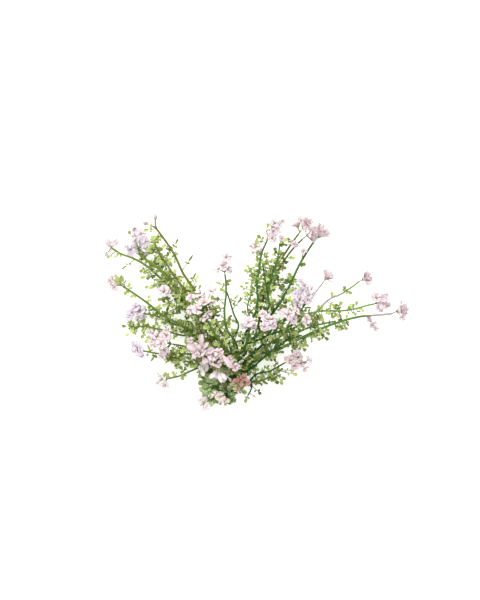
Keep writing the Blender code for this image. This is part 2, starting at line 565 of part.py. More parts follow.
def lay_out_stems():
    """Gives every twig its curve and returns the main stem's."""
    main = Curve([Vector(p) for p in MAIN_ROUTE], MAIN_STEP)
    for seat, twigs in SPRAYS.values():
        for twig in twigs:
            if twig.host is not None:
                host = twigs[twig.host].curve
                route = [host.at(host.nearest(twig.route[0]))[0], *twig.route[1:]]
            elif seat >= 1.0:
                tip, along = main.end()
                route = [tip + along * SEAT_GAP, tip + along * (SEAT_GAP + SEAT_STUB), *twig.route]
            else:
                start, away = seat_on_side(main, MAIN_BASE_RADIUS, MAIN_TIP_RADIUS, seat, twig.route[0])
                route = [start, start + away * SEAT_STUB, *twig.route]
            twig.curve = Curve(route, TWIG_STEP, SEAT_STUB if twig.host is None else 0.0)
    return main


def tube_balls(curve, base, tip):
    count = max(2, round(curve.length / PROBE_STEP))
    return [(curve.at(k / count)[0], base + (tip - base) * k / count) for k in range(count + 1)]


class Head:
    """A cluster of flowers: where it starts, and each flower's centre, axis, radius and turn."""

    def __init__(self, name, rng):
        spray, number, fraction, flowers = BLOOMS[name]
        twig = SPRAYS[spray][1][number]
        if fraction >= 1.0:
            tip, self.away = twig.curve.end()
            self.start = tip + self.away * SEAT_GAP
        else:
            self.start, self.away = seat_on_side(twig.curve, twig.base, twig.tip, fraction, flowers[0][:3])
        self.knot = self.start + self.away * SEAT_STUB
        self.flowers = []
        for x, y, z, radius in flowers:
            centre = Vector((x, y, z))
            outward = (centre - self.knot).normalized()
            jitter = Vector((rng.uniform(-1, 1), rng.uniform(-1, 1), rng.uniform(-0.4, 1))) * 0.3
            axis = (outward * 0.75 + UP * 0.55 + jitter).normalized()
            while axis.dot(outward) < LEAST_FACING:
                axis = (axis + outward * 0.2).normalized()
            size = radius * (CLUSTER_SCALE if len(flowers) > 1 else 1.0)
            self.flowers.append((centre, axis, size, rng.uniform(0, 2 * math.pi)))
        if name in RESTING:
            self.let_down()

    def let_down(self):
        """Lowers the flowers until the lowest petal touches the surface."""
        lowest = min(corner.z for flower in self.flowers for corner in self.flower_solid(flower)[0][: 3 * PETALS])
        self.flowers = [(c - UP * (lowest + PRESS), axis, radius, turn) for c, axis, radius, turn in self.flowers]

    def balls(self):
        result = [(self.knot, STALK_RADIUS)]
        for centre, axis, radius, _ in self.flowers:
            result.append((centre + axis * radius * 0.2, radius))
            result.append((centre - axis * radius * 0.4, radius * 0.45))
            result.append((self.knot.lerp(centre, 0.4), STALK_RADIUS))
        return result

    def flower_solid(self, flower):
        if len(self.flowers) == 1:
            return flower_solid(flower, self.start, self.away)
        centre, axis, radius, _ = flower
        return flower_solid(flower, self.knot, (centre - axis * radius * FOOT_DEPTH - self.knot).normalized())

    def solids(self):
        result = [self.flower_solid(flower) for flower in self.flowers]
        if len(self.flowers) > 1:
            ends = [self.start, self.knot + self.away * STALK_RADIUS]
            result.append(tube_solid(ends, [self.away] * 2, [STALK_RADIUS] * 2, TWIG_SIDES))
        return result


def marked_leaf(twig, mark, lift, rng):
    """A leaf whose blade lies at a mark, on a stalk from the nearest stretch of its twig."""
    x, y = mark
    fraction = twig.curve.nearest((x, y), flat=True)
    root, _ = twig.curve.at(fraction)
    distance = math.hypot(x - root.x, y - root.y)
    root, along = twig.curve.at(fraction - 0.35 * distance / twig.curve.length)
    length = twig.leaf * rng.uniform(0.95, 1.1)
    centre = Vector((x, y, root.z + lift + 0.12 * distance))
    reach = (centre - root).length
    stalk = max(reach - length * 0.5, 0.9)
    direction = (centre - root) / reach + along * 0.15
    facing = UP + Vector((rng.uniform(-1, 1), rng.uniform(-1, 1), 0)) * 0.35
    return Leaf(root, direction, facing, stalk, length, length * LEAF_WIDTH_RATIO)


def paired_leaf(twig, fraction, sign, rng):
    """A leaf to the left or the right of its twig."""
    root, along = twig.curve.at(fraction)
    side = along.cross(UP).normalized() * sign
    lean = math.radians(rng.uniform(35, 75))
    direction = along * math.cos(lean) + side * math.sin(lean) + UP * rng.uniform(-0.5, 0.7)
    facing = UP + along * rng.uniform(-0.3, 0.6) + side * rng.uniform(-0.5, 0.5)
    length = twig.leaf * rng.uniform(0.85, 1.15)
    return Leaf(root, direction, facing, rng.uniform(1.6, 5.5), length, length * LEAF_WIDTH_RATIO)


def grow_leaves(room, owners):
    """Places each twig's marked leaves, then its pairs, where there is room. Returns the leaves of each spray."""
    rng = random.Random(SEED)
    leaves = {name: [] for name in SPRAYS}

    def settle(name, candidates):
        for leaf in candidates:
            above = min(corner.z for corner in leaf.solid()[0]) > FLOOR_GAP
            if above and room.is_clear(leaf.balls(), owners[name]):
                room.take(leaf.balls(), owners[name], leafy=True)
                leaves[name].append(leaf)
                return

    for name, (_, twigs) in SPRAYS.items():
        for twig in twigs:
            for mark in twig.marks:
                settle(name, [marked_leaf(twig, mark, lift, rng) for lift in (0.0, 2.0, -2.0, 4.0, -4.0)])
    for name, (_, twigs) in SPRAYS.items():
        for twig in twigs:
            for pair in range(twig.pairs):
                start, end = twig.span
                fraction = start + (end - start) * (pair + rng.uniform(0.3, 0.7)) / twig.pairs
                for sign in (-1, 1):
                    settle(name, [paired_leaf(twig, fraction, sign, rng) for _ in range(TRIES)])
    return leaves


def plan_plant():
    """Works out every curve, head and leaf. Nothing is modelled yet."""
    main = lay_out_stems()
    room = Room()
    names = ["main_stem", *SPRAYS, *BLOOMS]
    owners = {name: number for number, name in enumerate(names)}
    room.take(tube_balls(main, MAIN_BASE_RADIUS, MAIN_TIP_RADIUS), owners["main_stem"])
    for name, (_, twigs) in SPRAYS.items():
        for twig in twigs:
            room.take(tube_balls(twig.curve, twig.base, twig.tip), owners[name])
            if twig.bud:
                room.take([(twig.curve.end()[0], twig.bud * 1.6)], owners[name])
    rng = random.Random(SEED + 1)
    heads = {name: Head(name, rng) for name in BLOOMS}
    for name, head in heads.items():
        room.take(head.balls(), owners[name])
    return main, heads, grow_leaves(room, owners)


def make_material(name, colour, roughness):
    material = bpy.data.materials.new(name)
    material.use_nodes = True
    shader = material.node_tree.nodes["Principled BSDF"]
    shader.inputs["Base Color"].default_value = (*colour, 1.0)
    shader.inputs["Roughness"].default_value = roughness
    shader.inputs["Metallic"].default_value = 0.0
    return material


def mesh_object(name, solid, collection):
    """A mesh object in metres from corners and faces in millimetres, kept from reaching under the surface."""
    corners, faces = solid
    mesh = bpy.data.meshes.new(name)
    mesh.from_pydata([(c.x * MM, c.y * MM, max(c.z, 0.0) * MM) for c in corners], [], faces)
    shape = bmesh.new()
    shape.from_mesh(mesh)
    bmesh.ops.recalc_face_normals(shape, faces=shape.faces)
    bmesh.ops.triangulate(shape, faces=shape.faces)
    shape.to_mesh(mesh)
    shape.free()
    thing = bpy.data.objects.new(name, mesh)
    collection.objects.link(thing)
    return thing


def tidy_body(mesh):
    """Drops loose scraps and joins faces that lie in one plane, which a union can leave."""
    shape = bmesh.new()
    shape.from_mesh(mesh)
    unseen = set(shape.verts)
    bodies = []
    while unseen:
        body = set()
        front = [unseen.pop()]
        while front:
            corner = front.pop()
            body.add(corner)
            for edge in corner.link_edges:
                other = edge.other_vert(corner)
                if other in unseen:
                    unseen.discard(other)
                    front.append(other)
        bodies.append(body)
    bodies.sort(key=len)
    for body in bodies[:-1]:
        bmesh.ops.delete(shape, geom=list(body), context="VERTS")
    bmesh.ops.dissolve_limit(shape, angle_limit=FLAT_ANGLE, verts=shape.verts, edges=shape.edges)
    bmesh.ops.triangulate(shape, faces=shape.faces)
    shape.to_mesh(mesh)
    shape.free()


def fuse(name, solids, material):
    """One body from closed solids that run into each other, joined by one Boolean union."""
    scene = bpy.context.scene
    body = mesh_object(name, solids[0], scene.collection)
    if len(solids) > 1:
        joined = bpy.data.collections.new(name + "_joined")
        scene.collection.children.link(joined)
        for number, solid in enumerate(solids[1:]):
            mesh_object(f"{name}_{number}", solid, joined)
        union = body.modifiers.new("fuse", "BOOLEAN")
        union.operation = "UNION"
        union.operand_type = "COLLECTION"
        union.collection = joined
        union.solver = "EXACT"
        bpy.context.view_layer.update()
        graph = bpy.context.evaluated_depsgraph_get()
        fused = bpy.data.meshes.new_from_object(body.evaluated_get(graph))
        body.modifiers.remove(union)
        body.data = fused
        for thing in list(joined.objects):
            bpy.data.objects.remove(thing)
        bpy.data.collections.remove(joined)
        tidy_body(fused)
    body.data.name = name
    body.data.materials.clear()
    body.data.materials.append(material)
    body.data.shade_smooth()
    return body


def build_main_stem(main, material):
    """The main stem, flat where it lies on the surface."""
    shape = {"first": UP.copy(), "turn": math.pi / MAIN_SIDES}
    stem = curve_tube(main, MAIN_BASE_RADIUS, MAIN_TIP_RADIUS, MAIN_SIDES, **shape)
    return fuse("main_stem", [stem], material)


def build_spray(name, leaves, material):
    """The stems, forks, buds and leaves of one spray."""
    solids = []
    for twig in SPRAYS[name][1]:
        solids.append(curve_tube(twig.curve, twig.base, twig.tip, TWIG_SIDES))
        if twig.bud:
            tip, along = twig.curve.end()
            solids.append(bud_solid(tip, along, twig.bud))
    solids += [leaf.solid() for leaf in leaves]
    return fuse(name, solids, material)


def bloom_material(name, materials):
    if name.endswith("coral"):
        return materials["coral"]
    if name.endswith("cream"):
        return materials["cream"]
    return materials["lilac" if name in LILAC_BLOOMS else "pink"]


def main():
    for thing in list(bpy.data.objects):
        bpy.data.objects.remove(thing)
    materials = {
        "stem": make_material("stem_green", GREEN_DEEP, 0.55),
        "leaf": make_material("leaf_green", GREEN_LEAF, 0.6),
        "lime": make_material("leaf_lime", GREEN_LIME, 0.6),
        "pink": make_material("petal_pink", PINK_PALE, 0.8),
        "lilac": make_material("petal_lilac", PINK_LILAC, 0.8),
        "coral": make_material("petal_coral", PINK_CORAL, 0.8),
        "cream": make_material("petal_cream", CREAM, 0.8),
    }
    stem, heads, leaves = plan_plant()
    build_main_stem(stem, materials["stem"])
    for name in SPRAYS:
        build_spray(name, leaves[name], materials["lime" if name in LIME_SPRAYS else "leaf"])
    for name, head in heads.items():
        fuse(name, head.solids(), bloom_material(name, materials))


main()
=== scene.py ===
"""Gypsophila spray, cut and lying on a pale surface: its fine stems, leaves, blossoms and finishes.

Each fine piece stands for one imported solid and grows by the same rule, with the same seeds, so that
every stem, leaf and blossom head is where its solid is. The plant is described in millimetres, x to
the right and y towards the tips, seen from above, z up from the surface. The finished meshes are in
metres.
"""

import json
import math
import random

import bpy
import numpy as np
from bpy.props import FloatProperty, FloatVectorProperty, IntProperty, PointerProperty
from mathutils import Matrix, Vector


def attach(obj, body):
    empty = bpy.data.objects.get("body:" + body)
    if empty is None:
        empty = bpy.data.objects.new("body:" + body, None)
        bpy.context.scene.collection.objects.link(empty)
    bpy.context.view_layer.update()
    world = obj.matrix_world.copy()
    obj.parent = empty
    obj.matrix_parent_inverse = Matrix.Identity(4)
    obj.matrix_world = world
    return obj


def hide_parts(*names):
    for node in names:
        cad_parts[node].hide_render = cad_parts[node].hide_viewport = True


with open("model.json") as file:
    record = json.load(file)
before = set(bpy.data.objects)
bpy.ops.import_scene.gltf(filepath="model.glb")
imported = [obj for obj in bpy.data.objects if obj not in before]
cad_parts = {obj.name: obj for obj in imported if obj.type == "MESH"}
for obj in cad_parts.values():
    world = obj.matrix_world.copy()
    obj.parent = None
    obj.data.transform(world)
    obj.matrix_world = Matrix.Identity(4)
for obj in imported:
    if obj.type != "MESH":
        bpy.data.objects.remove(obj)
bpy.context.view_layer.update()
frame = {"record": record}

bl_info = {
    "name": "Gypsophila Spray",
    "version": (1, 0, 0),
    "blender": (4, 5, 0),
    "location": "View3D > Sidebar > Gypsophila",
    "description": "Grows fine stems, leaves and blossoms on the solids of a gypsophila spray",
    "category": "Add Mesh",
}

# The plant's rule, in millimetres
MM = 0.001
UP = Vector((0.0, 0.0, 1.0))
SEED = 2260
PATCH_SEED = SEED + 7
SPRAY_SEED = SEED + 100
HEAD_SEED = SEED + 500
SEAT_GAP = 0.38
LEAF_GAP = 0.45
OWN_LEAF_GAP = 0.15
FLOOR_GAP = 0.3
MAIN_BASE_RADIUS = 2.4
MAIN_TIP_RADIUS = 1.5
MAIN_STEP = 6.0
TWIG_STEP = 16.0
SEAT_STUB = 2.0
PROBE_STEP = 1.0
ROOT_INSET = 0.1
STALK_HALF = 0.38
STALK_TOP = 0.25
STALK_KEEL = -0.40
NECK_HALF = 0.38
LEAF_THICKNESS = 0.9
LEAF_WIDTH_RATIO = 0.68
LEAF_WIDEST = 0.58
LEAF_CUP = 0.10
LONG_STALK = 3.4
MARK_LIFTS = (0.0, 2.0, -2.0, 4.0, -4.0)
TRIES = 5
PETALS = 5
NOTCH_RADIUS = 0.40
SHOULDER_RADIUS = 0.95
SHOULDER_TURN = 0.36
SHOULDER_RISE = 0.26
TIP_RISE = 0.34
FOOT_DEPTH = 0.62
STALK_RADIUS = 0.6
SMALL_FLOWER = 6.4
CLUSTER_SCALE = 0.87
LEAST_FACING = 0.6

# Fine detail, in millimetres
STRAIGHT = np.zeros(3)
UPWARDS = np.array((0.0, 0.0, 1.0))
TUBE_DOME = 0.5
ROUND_SIDES = 8
MAIN_RING = 1.5
JOINT_REACH = 1.8
MAIN_WAIST = 0.93
MAIN_SWELL = 0.07
CUT_SIDES = 24
CUT_DOME = 1.35
CUT_RINGS = (0.35, 0.7, 0.97)
CUT_RIMS = (0.35, 0.7, 1.0, 1.0)
STEM_SCALE = 1.32
TWIG_RING = 2.2
TWIG_SWELL = 0.3
TWIG_SWELL_REACH = 1.6
STALK_RINGS = 4
SUNK = 0.4
LEAF_STALK_RADIUS = 0.3
LEAF_HALF_THICKNESS = 0.16
SPOON_SHAPE = (0.95, 0.48)
LANCE_SHAPE = (0.8, 0.85)
LANCE_REACH = 2.6
SPRIG_BREADTH = (0.5, 0.74)
SPRIG_OPENING = (35, 80)
SIDE_OPENING = (40, 75)
BESIDE_OPENING = (45, 80)
PATCH_DROP = (-9, -2)
OLIVE_LEFT = -10.0
OLIVE_RIGHT = 40.0
OLIVE_REACH = 50.0
BUD_STEPS = np.array([0.0, 0.35, 0.9, 1.6, 2.2, 2.6])
BUD_RADII = np.array([0.45, 0.85, 1.0, 0.8, 0.4, 0.12])
CUP_HEIGHTS = np.array([0.0, 0.12, 0.3, 0.5])
KNOT_RADII = (0.62, 0.6, 0.62)
BLOOM_STALK_RADIUS = 0.5
BLOOM_RISE = 1.0
BLOOM_RISE_FALL = 0.013
FUNNEL_LEAN = 0.6
PETAL_HALF_THICKNESS = 0.45
LOBE_MIDDLE = 0.6
CLAW_RADIUS = 0.5
STAR_THROAT = -34.0
FLORET_PETALS = 4
FLORET_STALK_RADIUS = 0.32
SEPALS = 5
THREADS = 3
THREAD_RADIUS = 0.12
THREAD_TIP_RADIUS = 0.2
CROWN = (-20.0, -60.0, 20.0)
FAN_REACH = 120.0
PRESS_HEIGHT = 0.8

# Slots of a piece's finishes, and the slot of the cut face on the main stem
STALK, LEAF, PETAL, THREAD = 0, 1, 2, 3
CUT = 1

# Stage, in metres
VIEW_CENTRE = (-0.016, 0.0135)
KEY_PLACE = (-0.6, 1.2, 1.9)
KEY_SIZE = 1.6

MAIN_ROUTE = [
    (-27.0, -91.0, 2.0), (-25.5, -84.0, 1.92), (-24.0, -77.0, 1.8), (-21.5, -66.0, 6.5),
    (-19.5, -55.0, 15.0), (-19.0, -45.0, 26.0), (-19.0, -35.0, 38.0),
]


class Twig:
    """One stretch of green stem: its route, its radii, and the leaves along it.

    host is the number of the twig in the same spray that this one forks from, or None on the
    spray's first twig. pairs leaves are spread over span, a stretch given as fractions of the
    length, and marks are the places, seen from above, of leaves that stand clear of the rest.
    """

    def __init__(self, route, base=1.0, tip=0.75, host=None, pairs=0, span=(0.15, 0.92), leaf=5.4,
                 marks=(), bud=0.0):
        self.route = [Vector(p) for p in route]
        self.base = base
        self.tip = tip
        self.host = host
        self.pairs = pairs
        self.span = span
        self.leaf = leaf
        self.marks = marks
        self.bud = bud
        self.curve = None


SPRAYS = {
    "spray_upper_left_arch": (0.88, [
        Twig([(-26, -32, 37), (-42, -8.5, 40), (-59, 20.5, 38), (-72, 38.5, 34), (-82.5, 60, 28),
              (-94.6, 78, 22), (-102, 87.5, 19)],
             base=1.0, tip=0.7, pairs=4, span=(0.05, 0.52),
             marks=[(-79, 71), (-93, 66.5), (-65, 53), (-61.5, 36), (-58, 35), (-65, 26),
                    (-110, 83), (-110.5, 90)]),
        Twig([(-48, 3, 39), (-62, 18, 36), (-76, 29.5, 32), (-90.7, 51, 27), (-98.4, 62, 24),
              (-101, 68, 23)],
             base=0.8, tip=0.6, host=0, pairs=3, span=(0.2, 0.8),
             marks=[(-102, 76), (-98, 74), (-105, 67)]),
        Twig([(-101, 85, 19.3), (-101.5, 91, 20), (-101.3, 95, 21)],
             base=0.6, tip=0.5, host=0, bud=1.7),
    ]),
    "spray_upper_left": (0.77, [
        Twig([(-30, -36, 27), (-51, -11.5, 30), (-71, 13.5, 29), (-84, 29.5, 26), (-99, 46, 22),
              (-108.6, 52.5, 18), (-116, 58, 13)],
             base=1.1, tip=0.75, pairs=6, span=(0.12, 0.9),
             marks=[(-126, 82.5), (-109.6, 84), (-108, 77.5), (-113, 60.5), (-100, 55), (-94, 58)]),
        Twig([(-44, -21, 29), (-56, -6, 25), (-80, 19.5, 20), (-99, 38, 16), (-112, 49, 12),
              (-125, 56, 9), (-139, 61.5, 7), (-144, 65, 7)],
             base=0.9, tip=0.6, host=0, pairs=4, span=(0.2, 0.75),
             marks=[(-131, 46), (-115, 42), (-113, 35), (-108, 34.5), (-109, 24.5), (-104, 24),
                    (-101, 27), (-148, 56), (-140, 58)]),
        Twig([(-60, -1, 24), (-78, 6.5, 25), (-85, 8.5, 27), (-90, 16, 28)],
             base=0.7, tip=0.6, host=1, pairs=2, span=(0.3, 0.8), marks=[(-97, 13), (-91.5, 7.5)]),
    ]),
    "spray_left_high": (0.66, [
        Twig([(-32, -40, 22), (-56, -22, 24), (-73.5, -12.5, 23), (-94, -2, 19), (-108.6, 9.7, 14),
              (-127.7, 23, 9), (-134, 27, 8)],
             base=1.0, tip=0.7, pairs=4, span=(0.12, 0.72),
             marks=[(-139.5, 37), (-134, 35), (-127, 29), (-131, 20.5), (-124.5, 17), (-107, 16.5),
                    (-85, 1)]),
    ]),
    "spray_left_mid": (0.55, [
        Twig([(-32, -46, 16), (-51, -29, 17), (-66, -19, 16), (-88, -8.5, 13), (-105, -1.5, 10),
              (-112, -0.5, 9)],
             base=1.0, tip=0.7, pairs=4, span=(0.15, 0.85),
             marks=[(-124, 12), (-113.5, 8.5), (-107, 6)]),
        Twig([(-60, -23, 16), (-76, -22, 12), (-91, -17.5, 9), (-103.5, -15, 7), (-113, -13, 6),
              (-122, -14.5, 6)],
             base=0.8, tip=0.6, host=0, pairs=2, span=(0.2, 0.7),
             marks=[(-133.5, -12.5), (-129, -22.5), (-126, -7.5), (-119, -6), (-124.5, -18),
                    (-114, -17.5), (-108, -19), (-113.5, -24), (-116, -28), (-108.5, -28.5)]),
    ]),
    "spray_left_front": (0.5, [
        Twig([(-31, -54, 17), (-46, -42, 23), (-60, -36, 26), (-72, -33, 28), (-83, -31, 28)],
             base=0.9, tip=0.7, pairs=3, span=(0.2, 0.95), marks=[(-78, -39), (-86, -42)]),
    ]),
    "spray_left_low": (0.38, [
        Twig([(-31, -56, 10), (-46, -46, 13), (-64.7, -41.5, 12), (-79, -40.5, 10),
              (-100, -40.5, 8), (-114, -38, 7)],
             base=0.9, tip=0.65, pairs=3, span=(0.15, 0.62), marks=[(-103, -45.5), (-107, -37)]),
        Twig([(-40, -49, 12), (-52, -51.5, 9), (-61, -51, 8), (-72, -48, 7), (-84, -44.5, 6)],
             base=0.7, tip=0.6, host=0, pairs=2, span=(0.15, 0.95), marks=[(-88, -47)]),
        Twig([(-45, -50, 10.5), (-47.5, -52, 13), (-49.5, -53, 14.5)], base=0.6, tip=0.55, host=1),
    ]),
    "spray_left_bottom": (0.29, [
        Twig([(-33, -63, 6), (-46, -57, 7.5), (-57, -55, 8), (-65, -58, 8), (-76, -63, 7.5),
              (-88, -66, 7)],
             base=0.9, tip=0.7, pairs=3, span=(0.3, 0.85), marks=[(-91, -60.5), (-83, -60)]),
    ]),
    "spray_centre_tall": (1.0, [
        Twig([(-22, -26, 46), (-29, -16, 50), (-31.5, 2.7, 50), (-30, 18, 48), (-30, 29.5, 46),
              (-31, 39, 44)],
             base=0.9, tip=0.7, pairs=2, span=(0.12, 0.45),
             marks=[(-36.5, 29), (-34.5, 23), (-26, 32)]),
        Twig([(-23, -24, 46.5), (-17.5, -13, 46.5), (-22.5, 0, 46), (-26.3, 13, 44.5),
              (-30.5, 25, 42)],
             base=0.8, tip=0.6, host=0, pairs=0, marks=[(-20, 15), (-16, 11), (-21, -8)]),
    ]),
    "spray_centre_left": (0.95, [
        Twig([(-28, -38, 44), (-36, -28, 50), (-44, -15.5, 54), (-49, -6, 55), (-52, 0, 55.5)],
             base=0.9, tip=0.75, pairs=2, span=(0.2, 0.9),
             marks=[(-42, 15), (-37.5, 8.5), (-42, 0.5), (-39, 4.5)]),
    ]),
    "spray_centre_front": (0.62, [
        Twig([(-25, -56, 28), (-33, -52, 34), (-42, -49, 37), (-50, -43, 40)],
             base=0.9, tip=0.7, pairs=1, span=(0.3, 0.9)),
        Twig([(-32, -53, 33), (-36, -50, 38), (-38, -47, 42)], base=0.7, tip=0.6, host=0),
        Twig([(-26, -56, 29), (-23, -54, 36), (-24, -51, 41)], base=0.7, tip=0.6, host=0),
    ]),
    "spray_top": (0.83, [
        Twig([(-12, -24, 38), (-4, -6, 43), (2, 7.8, 44), (1.4, 21, 44), (1.2, 33.5, 43),
              (3, 41.5, 42), (4.5, 54.5, 39), (7, 64, 37), (10.3, 71, 35), (12, 76, 34)],
             base=1.1, tip=0.7, pairs=5, span=(0.3, 0.8),
             marks=[(2.5, 76), (11, 88), (27, 74), (-6, 41), (-9, 46)]),
        Twig([(-2, -2, 43.5), (6, 2, 40), (12.6, 6, 38), (12, 18, 37), (10, 30.7, 37), (8, 42, 37),
              (6, 54, 38)],
             base=0.9, tip=0.6, host=0, pairs=2, span=(0.3, 0.85), marks=[(16, 13)]),
        Twig([(11.5, 22, 37), (16, 38.5, 38), (21, 53, 37), (23, 62.5, 36), (23.6, 69, 35)],
             base=0.7, tip=0.55, host=1, pairs=4, span=(0.15, 0.9), marks=[(30, 73)]),
        Twig([(-4.5, -6, 43), (-8.5, 4, 42), (-6, 16, 41.5), (-1, 25, 42)],
             base=0.6, tip=0.5, host=0, pairs=1, span=(0.3, 0.95)),
    ]),
    "spray_upper_right": (0.73, [
        Twig([(-8, -35, 27), (6, -13, 27), (22.8, 8.5, 25), (35, 30, 21), (43.4, 48, 17),
              (50.4, 60, 14), (59, 73, 10)],
             base=1.1, tip=0.8, pairs=4, span=(0.2, 0.62),
             marks=[(32, 12), (41, 33), (34, 38), (47, 49)]),
        Twig([(-1, -23, 27.5), (4, -4, 31), (6.5, 13.5, 31.5), (14, 28.5, 30), (21, 41.5, 28),
              (28.7, 53.7, 25), (36.4, 64, 23), (46.5, 74.5, 21)],
             base=0.9, tip=0.7, host=0, pairs=2, span=(0.35, 0.75), marks=[(26, 33), (37, 55)]),
        Twig([(4, -5, 30.7), (0, 4, 27), (7, 19.5, 23), (14, 33.5, 21), (19, 45, 19),
              (27.5, 57.5, 17), (36.4, 71, 15), (43, 80, 13)],
             base=0.9, tip=0.7, host=1, pairs=2, span=(0.3, 0.7), marks=[(29, 29)]),
    ]),
    "spray_right_top": (0.63, [
        Twig([(-9, -45, 23), (4, -34, 28), (24, -12, 34), (38, 4, 37)],
             base=1.0, tip=0.75, pairs=2, span=(0.3, 0.9)),
        Twig([(28, -8, 35), (44, 1.5, 33), (49, 8.5, 31), (56, 15, 29), (62, 24, 26), (66, 29, 24)],
             base=0.7, tip=0.6, host=0, pairs=1, span=(0.15, 0.5)),
    ]),
    "spray_right_high": (0.5, [
        Twig([(-9, -49, 16), (10, -33, 20), (34, -17.5, 22), (54, -5, 20), (63.7, 4, 18),
              (73.6, 14, 15), (85, 19, 12), (99, 28, 8), (104, 32, 7)],
             base=1.0, tip=0.65, pairs=3, span=(0.25, 0.62),
             marks=[(94, 21), (89, 26), (78, 7), (77, 17.5)]),
        Twig([(28, -21.5, 21.5), (42, -7, 26), (58, 1, 27), (70, 2.7, 26), (83, 2.5, 24),
              (99.7, 4.5, 20), (112, 8, 16), (119, 9.5, 14)],
             base=0.8, tip=0.7, host=0, pairs=3, span=(0.3, 0.85),
             marks=[(84, 10), (95, 8.5), (107, 3), (76, -3)]),
    ]),
    "spray_right_long": (0.37, [
        Twig([(-12, -57, 8), (12, -42, 12), (24, -36, 14), (41.4, -27, 14), (62.5, -17, 13),
              (81.6, -9.5, 12), (104, -3.5, 10), (127.8, -1.3, 9), (137, -0.5, 8.5)],
             base=1.1, tip=0.7, pairs=4, span=(0.12, 0.75),
             marks=[(90, -15.5), (83, -16.5), (70, -26.5), (63, -27), (72, -21), (48, -38),
                    (45, -33), (51, -40)]),
        Twig([(20, -38, 13.7), (30, -27, 16), (44, -18.5, 16.5), (57.4, -13, 16), (70, -10, 14.5),
              (80, -8, 13)],
             base=0.7, tip=0.6, host=0, pairs=2, span=(0.2, 0.8)),
        Twig([(112, -2.5, 9.7), (115, -5.5, 9), (117, -8, 8)], base=0.55, tip=0.5, host=0),
    ]),
    "spray_right_low": (0.27, [
        Twig([(-12, -69, 6), (1.4, -69, 8), (15.5, -63.5, 10), (27, -55.5, 12)],
             base=0.9, tip=0.7, pairs=1, span=(0.4, 0.9),
             marks=[(36, -58.5), (39, -63), (20, -71), (27, -66.5), (25, -72)]),
        Twig([(-8, -69.5, 6.6), (0, -62, 10), (14.8, -58, 13), (29, -50, 15)],
             base=0.7, tip=0.6, host=0, pairs=1, span=(0.3, 0.8)),
        Twig([(-4, -69.5, 7.1), (-5, -77.5, 7), (-8, -83, 6)],
             base=0.6, tip=0.5, host=0, marks=[(5, -79.5), (-9.7, -88)]),
    ]),
    "spray_centre_right": (0.91, [
        Twig([(-11, -33, 44), (-8, -24, 49), (-7, -17, 51)],
             base=1.0, tip=0.75, pairs=1, span=(0.3, 0.9)),
        Twig([(-9.5, -29, 47), (0, -22, 50), (8, -14, 52)],
             base=0.8, tip=0.7, host=0, pairs=1, span=(0.3, 0.9)),
        Twig([(-10.5, -31, 45.5), (8, -24, 46), (22, -10, 48), (29, -5, 50)],
             base=0.8, tip=0.7, host=0, pairs=2, span=(0.3, 0.9)),
        Twig([(8, -24, 46), (28, -16, 43), (42, -8, 43), (46, -6, 43.5)],
             base=0.7, tip=0.6, host=2, pairs=2, span=(0.3, 0.9)),
    ]),
    "spray_bottom": (0.19, [
        Twig([(-32, -79, 8), (-38, -77, 12), (-42, -75, 15)],
             base=1.0, tip=0.8, leaf=7.5,
             marks=[(-51, -74), (-49, -81), (-44, -84), (-37, -83.5), (-34, -70), (-40, -66.5),
                    (-47, -67.5), (-51.5, -70)]),
        Twig([(-34, -78.5, 9.5), (-40, -84, 8), (-47, -88, 8)],
             base=0.8, tip=0.65, host=0, marks=[(-44, -92), (-38, -90)]),
        Twig([(-29, -80, 7), (-30, -84, 12), (-33, -85, 15)],
             base=0.7, tip=0.6, host=0, leaf=7.0, marks=[(-25, -88)]),
        Twig([(-38, -77, 12), (-37, -71, 17), (-35, -66, 19.5)], base=0.7, tip=0.6, host=0),
    ]),
    "spray_bottom_right": (0.24, [
        Twig([(-19, -78.5, 9), (-17, -76, 14), (-17, -72, 19)],
             base=0.8, tip=0.7, leaf=6.5, marks=[(-12, -79), (-26, -66), (-11, -72)]),
    ]),
    "spray_heart_left": (0.7, [
        Twig([(-28, -46, 30), (-42, -33, 35), (-56, -20, 36), (-66, -8, 35)],
             base=0.8, tip=0.6, pairs=4, span=(0.2, 0.98)),
        Twig([(-38, -36.5, 34), (-54, -32, 33), (-68, -24, 32)],
             base=0.7, tip=0.6, host=0, pairs=2, span=(0.2, 0.98)),
    ]),
    "spray_heart_right": (0.55, [
        Twig([(-10, -58, 20), (4, -48, 27), (20, -34, 29), (34, -26, 28), (46, -22, 26)],
             base=0.8, tip=0.6, pairs=4, span=(0.15, 0.98)),
        Twig([(-6, -55.5, 22), (-4, -46, 31), (0, -34, 36)],
             base=0.7, tip=0.6, host=0, pairs=2, span=(0.25, 0.98)),
    ]),
}

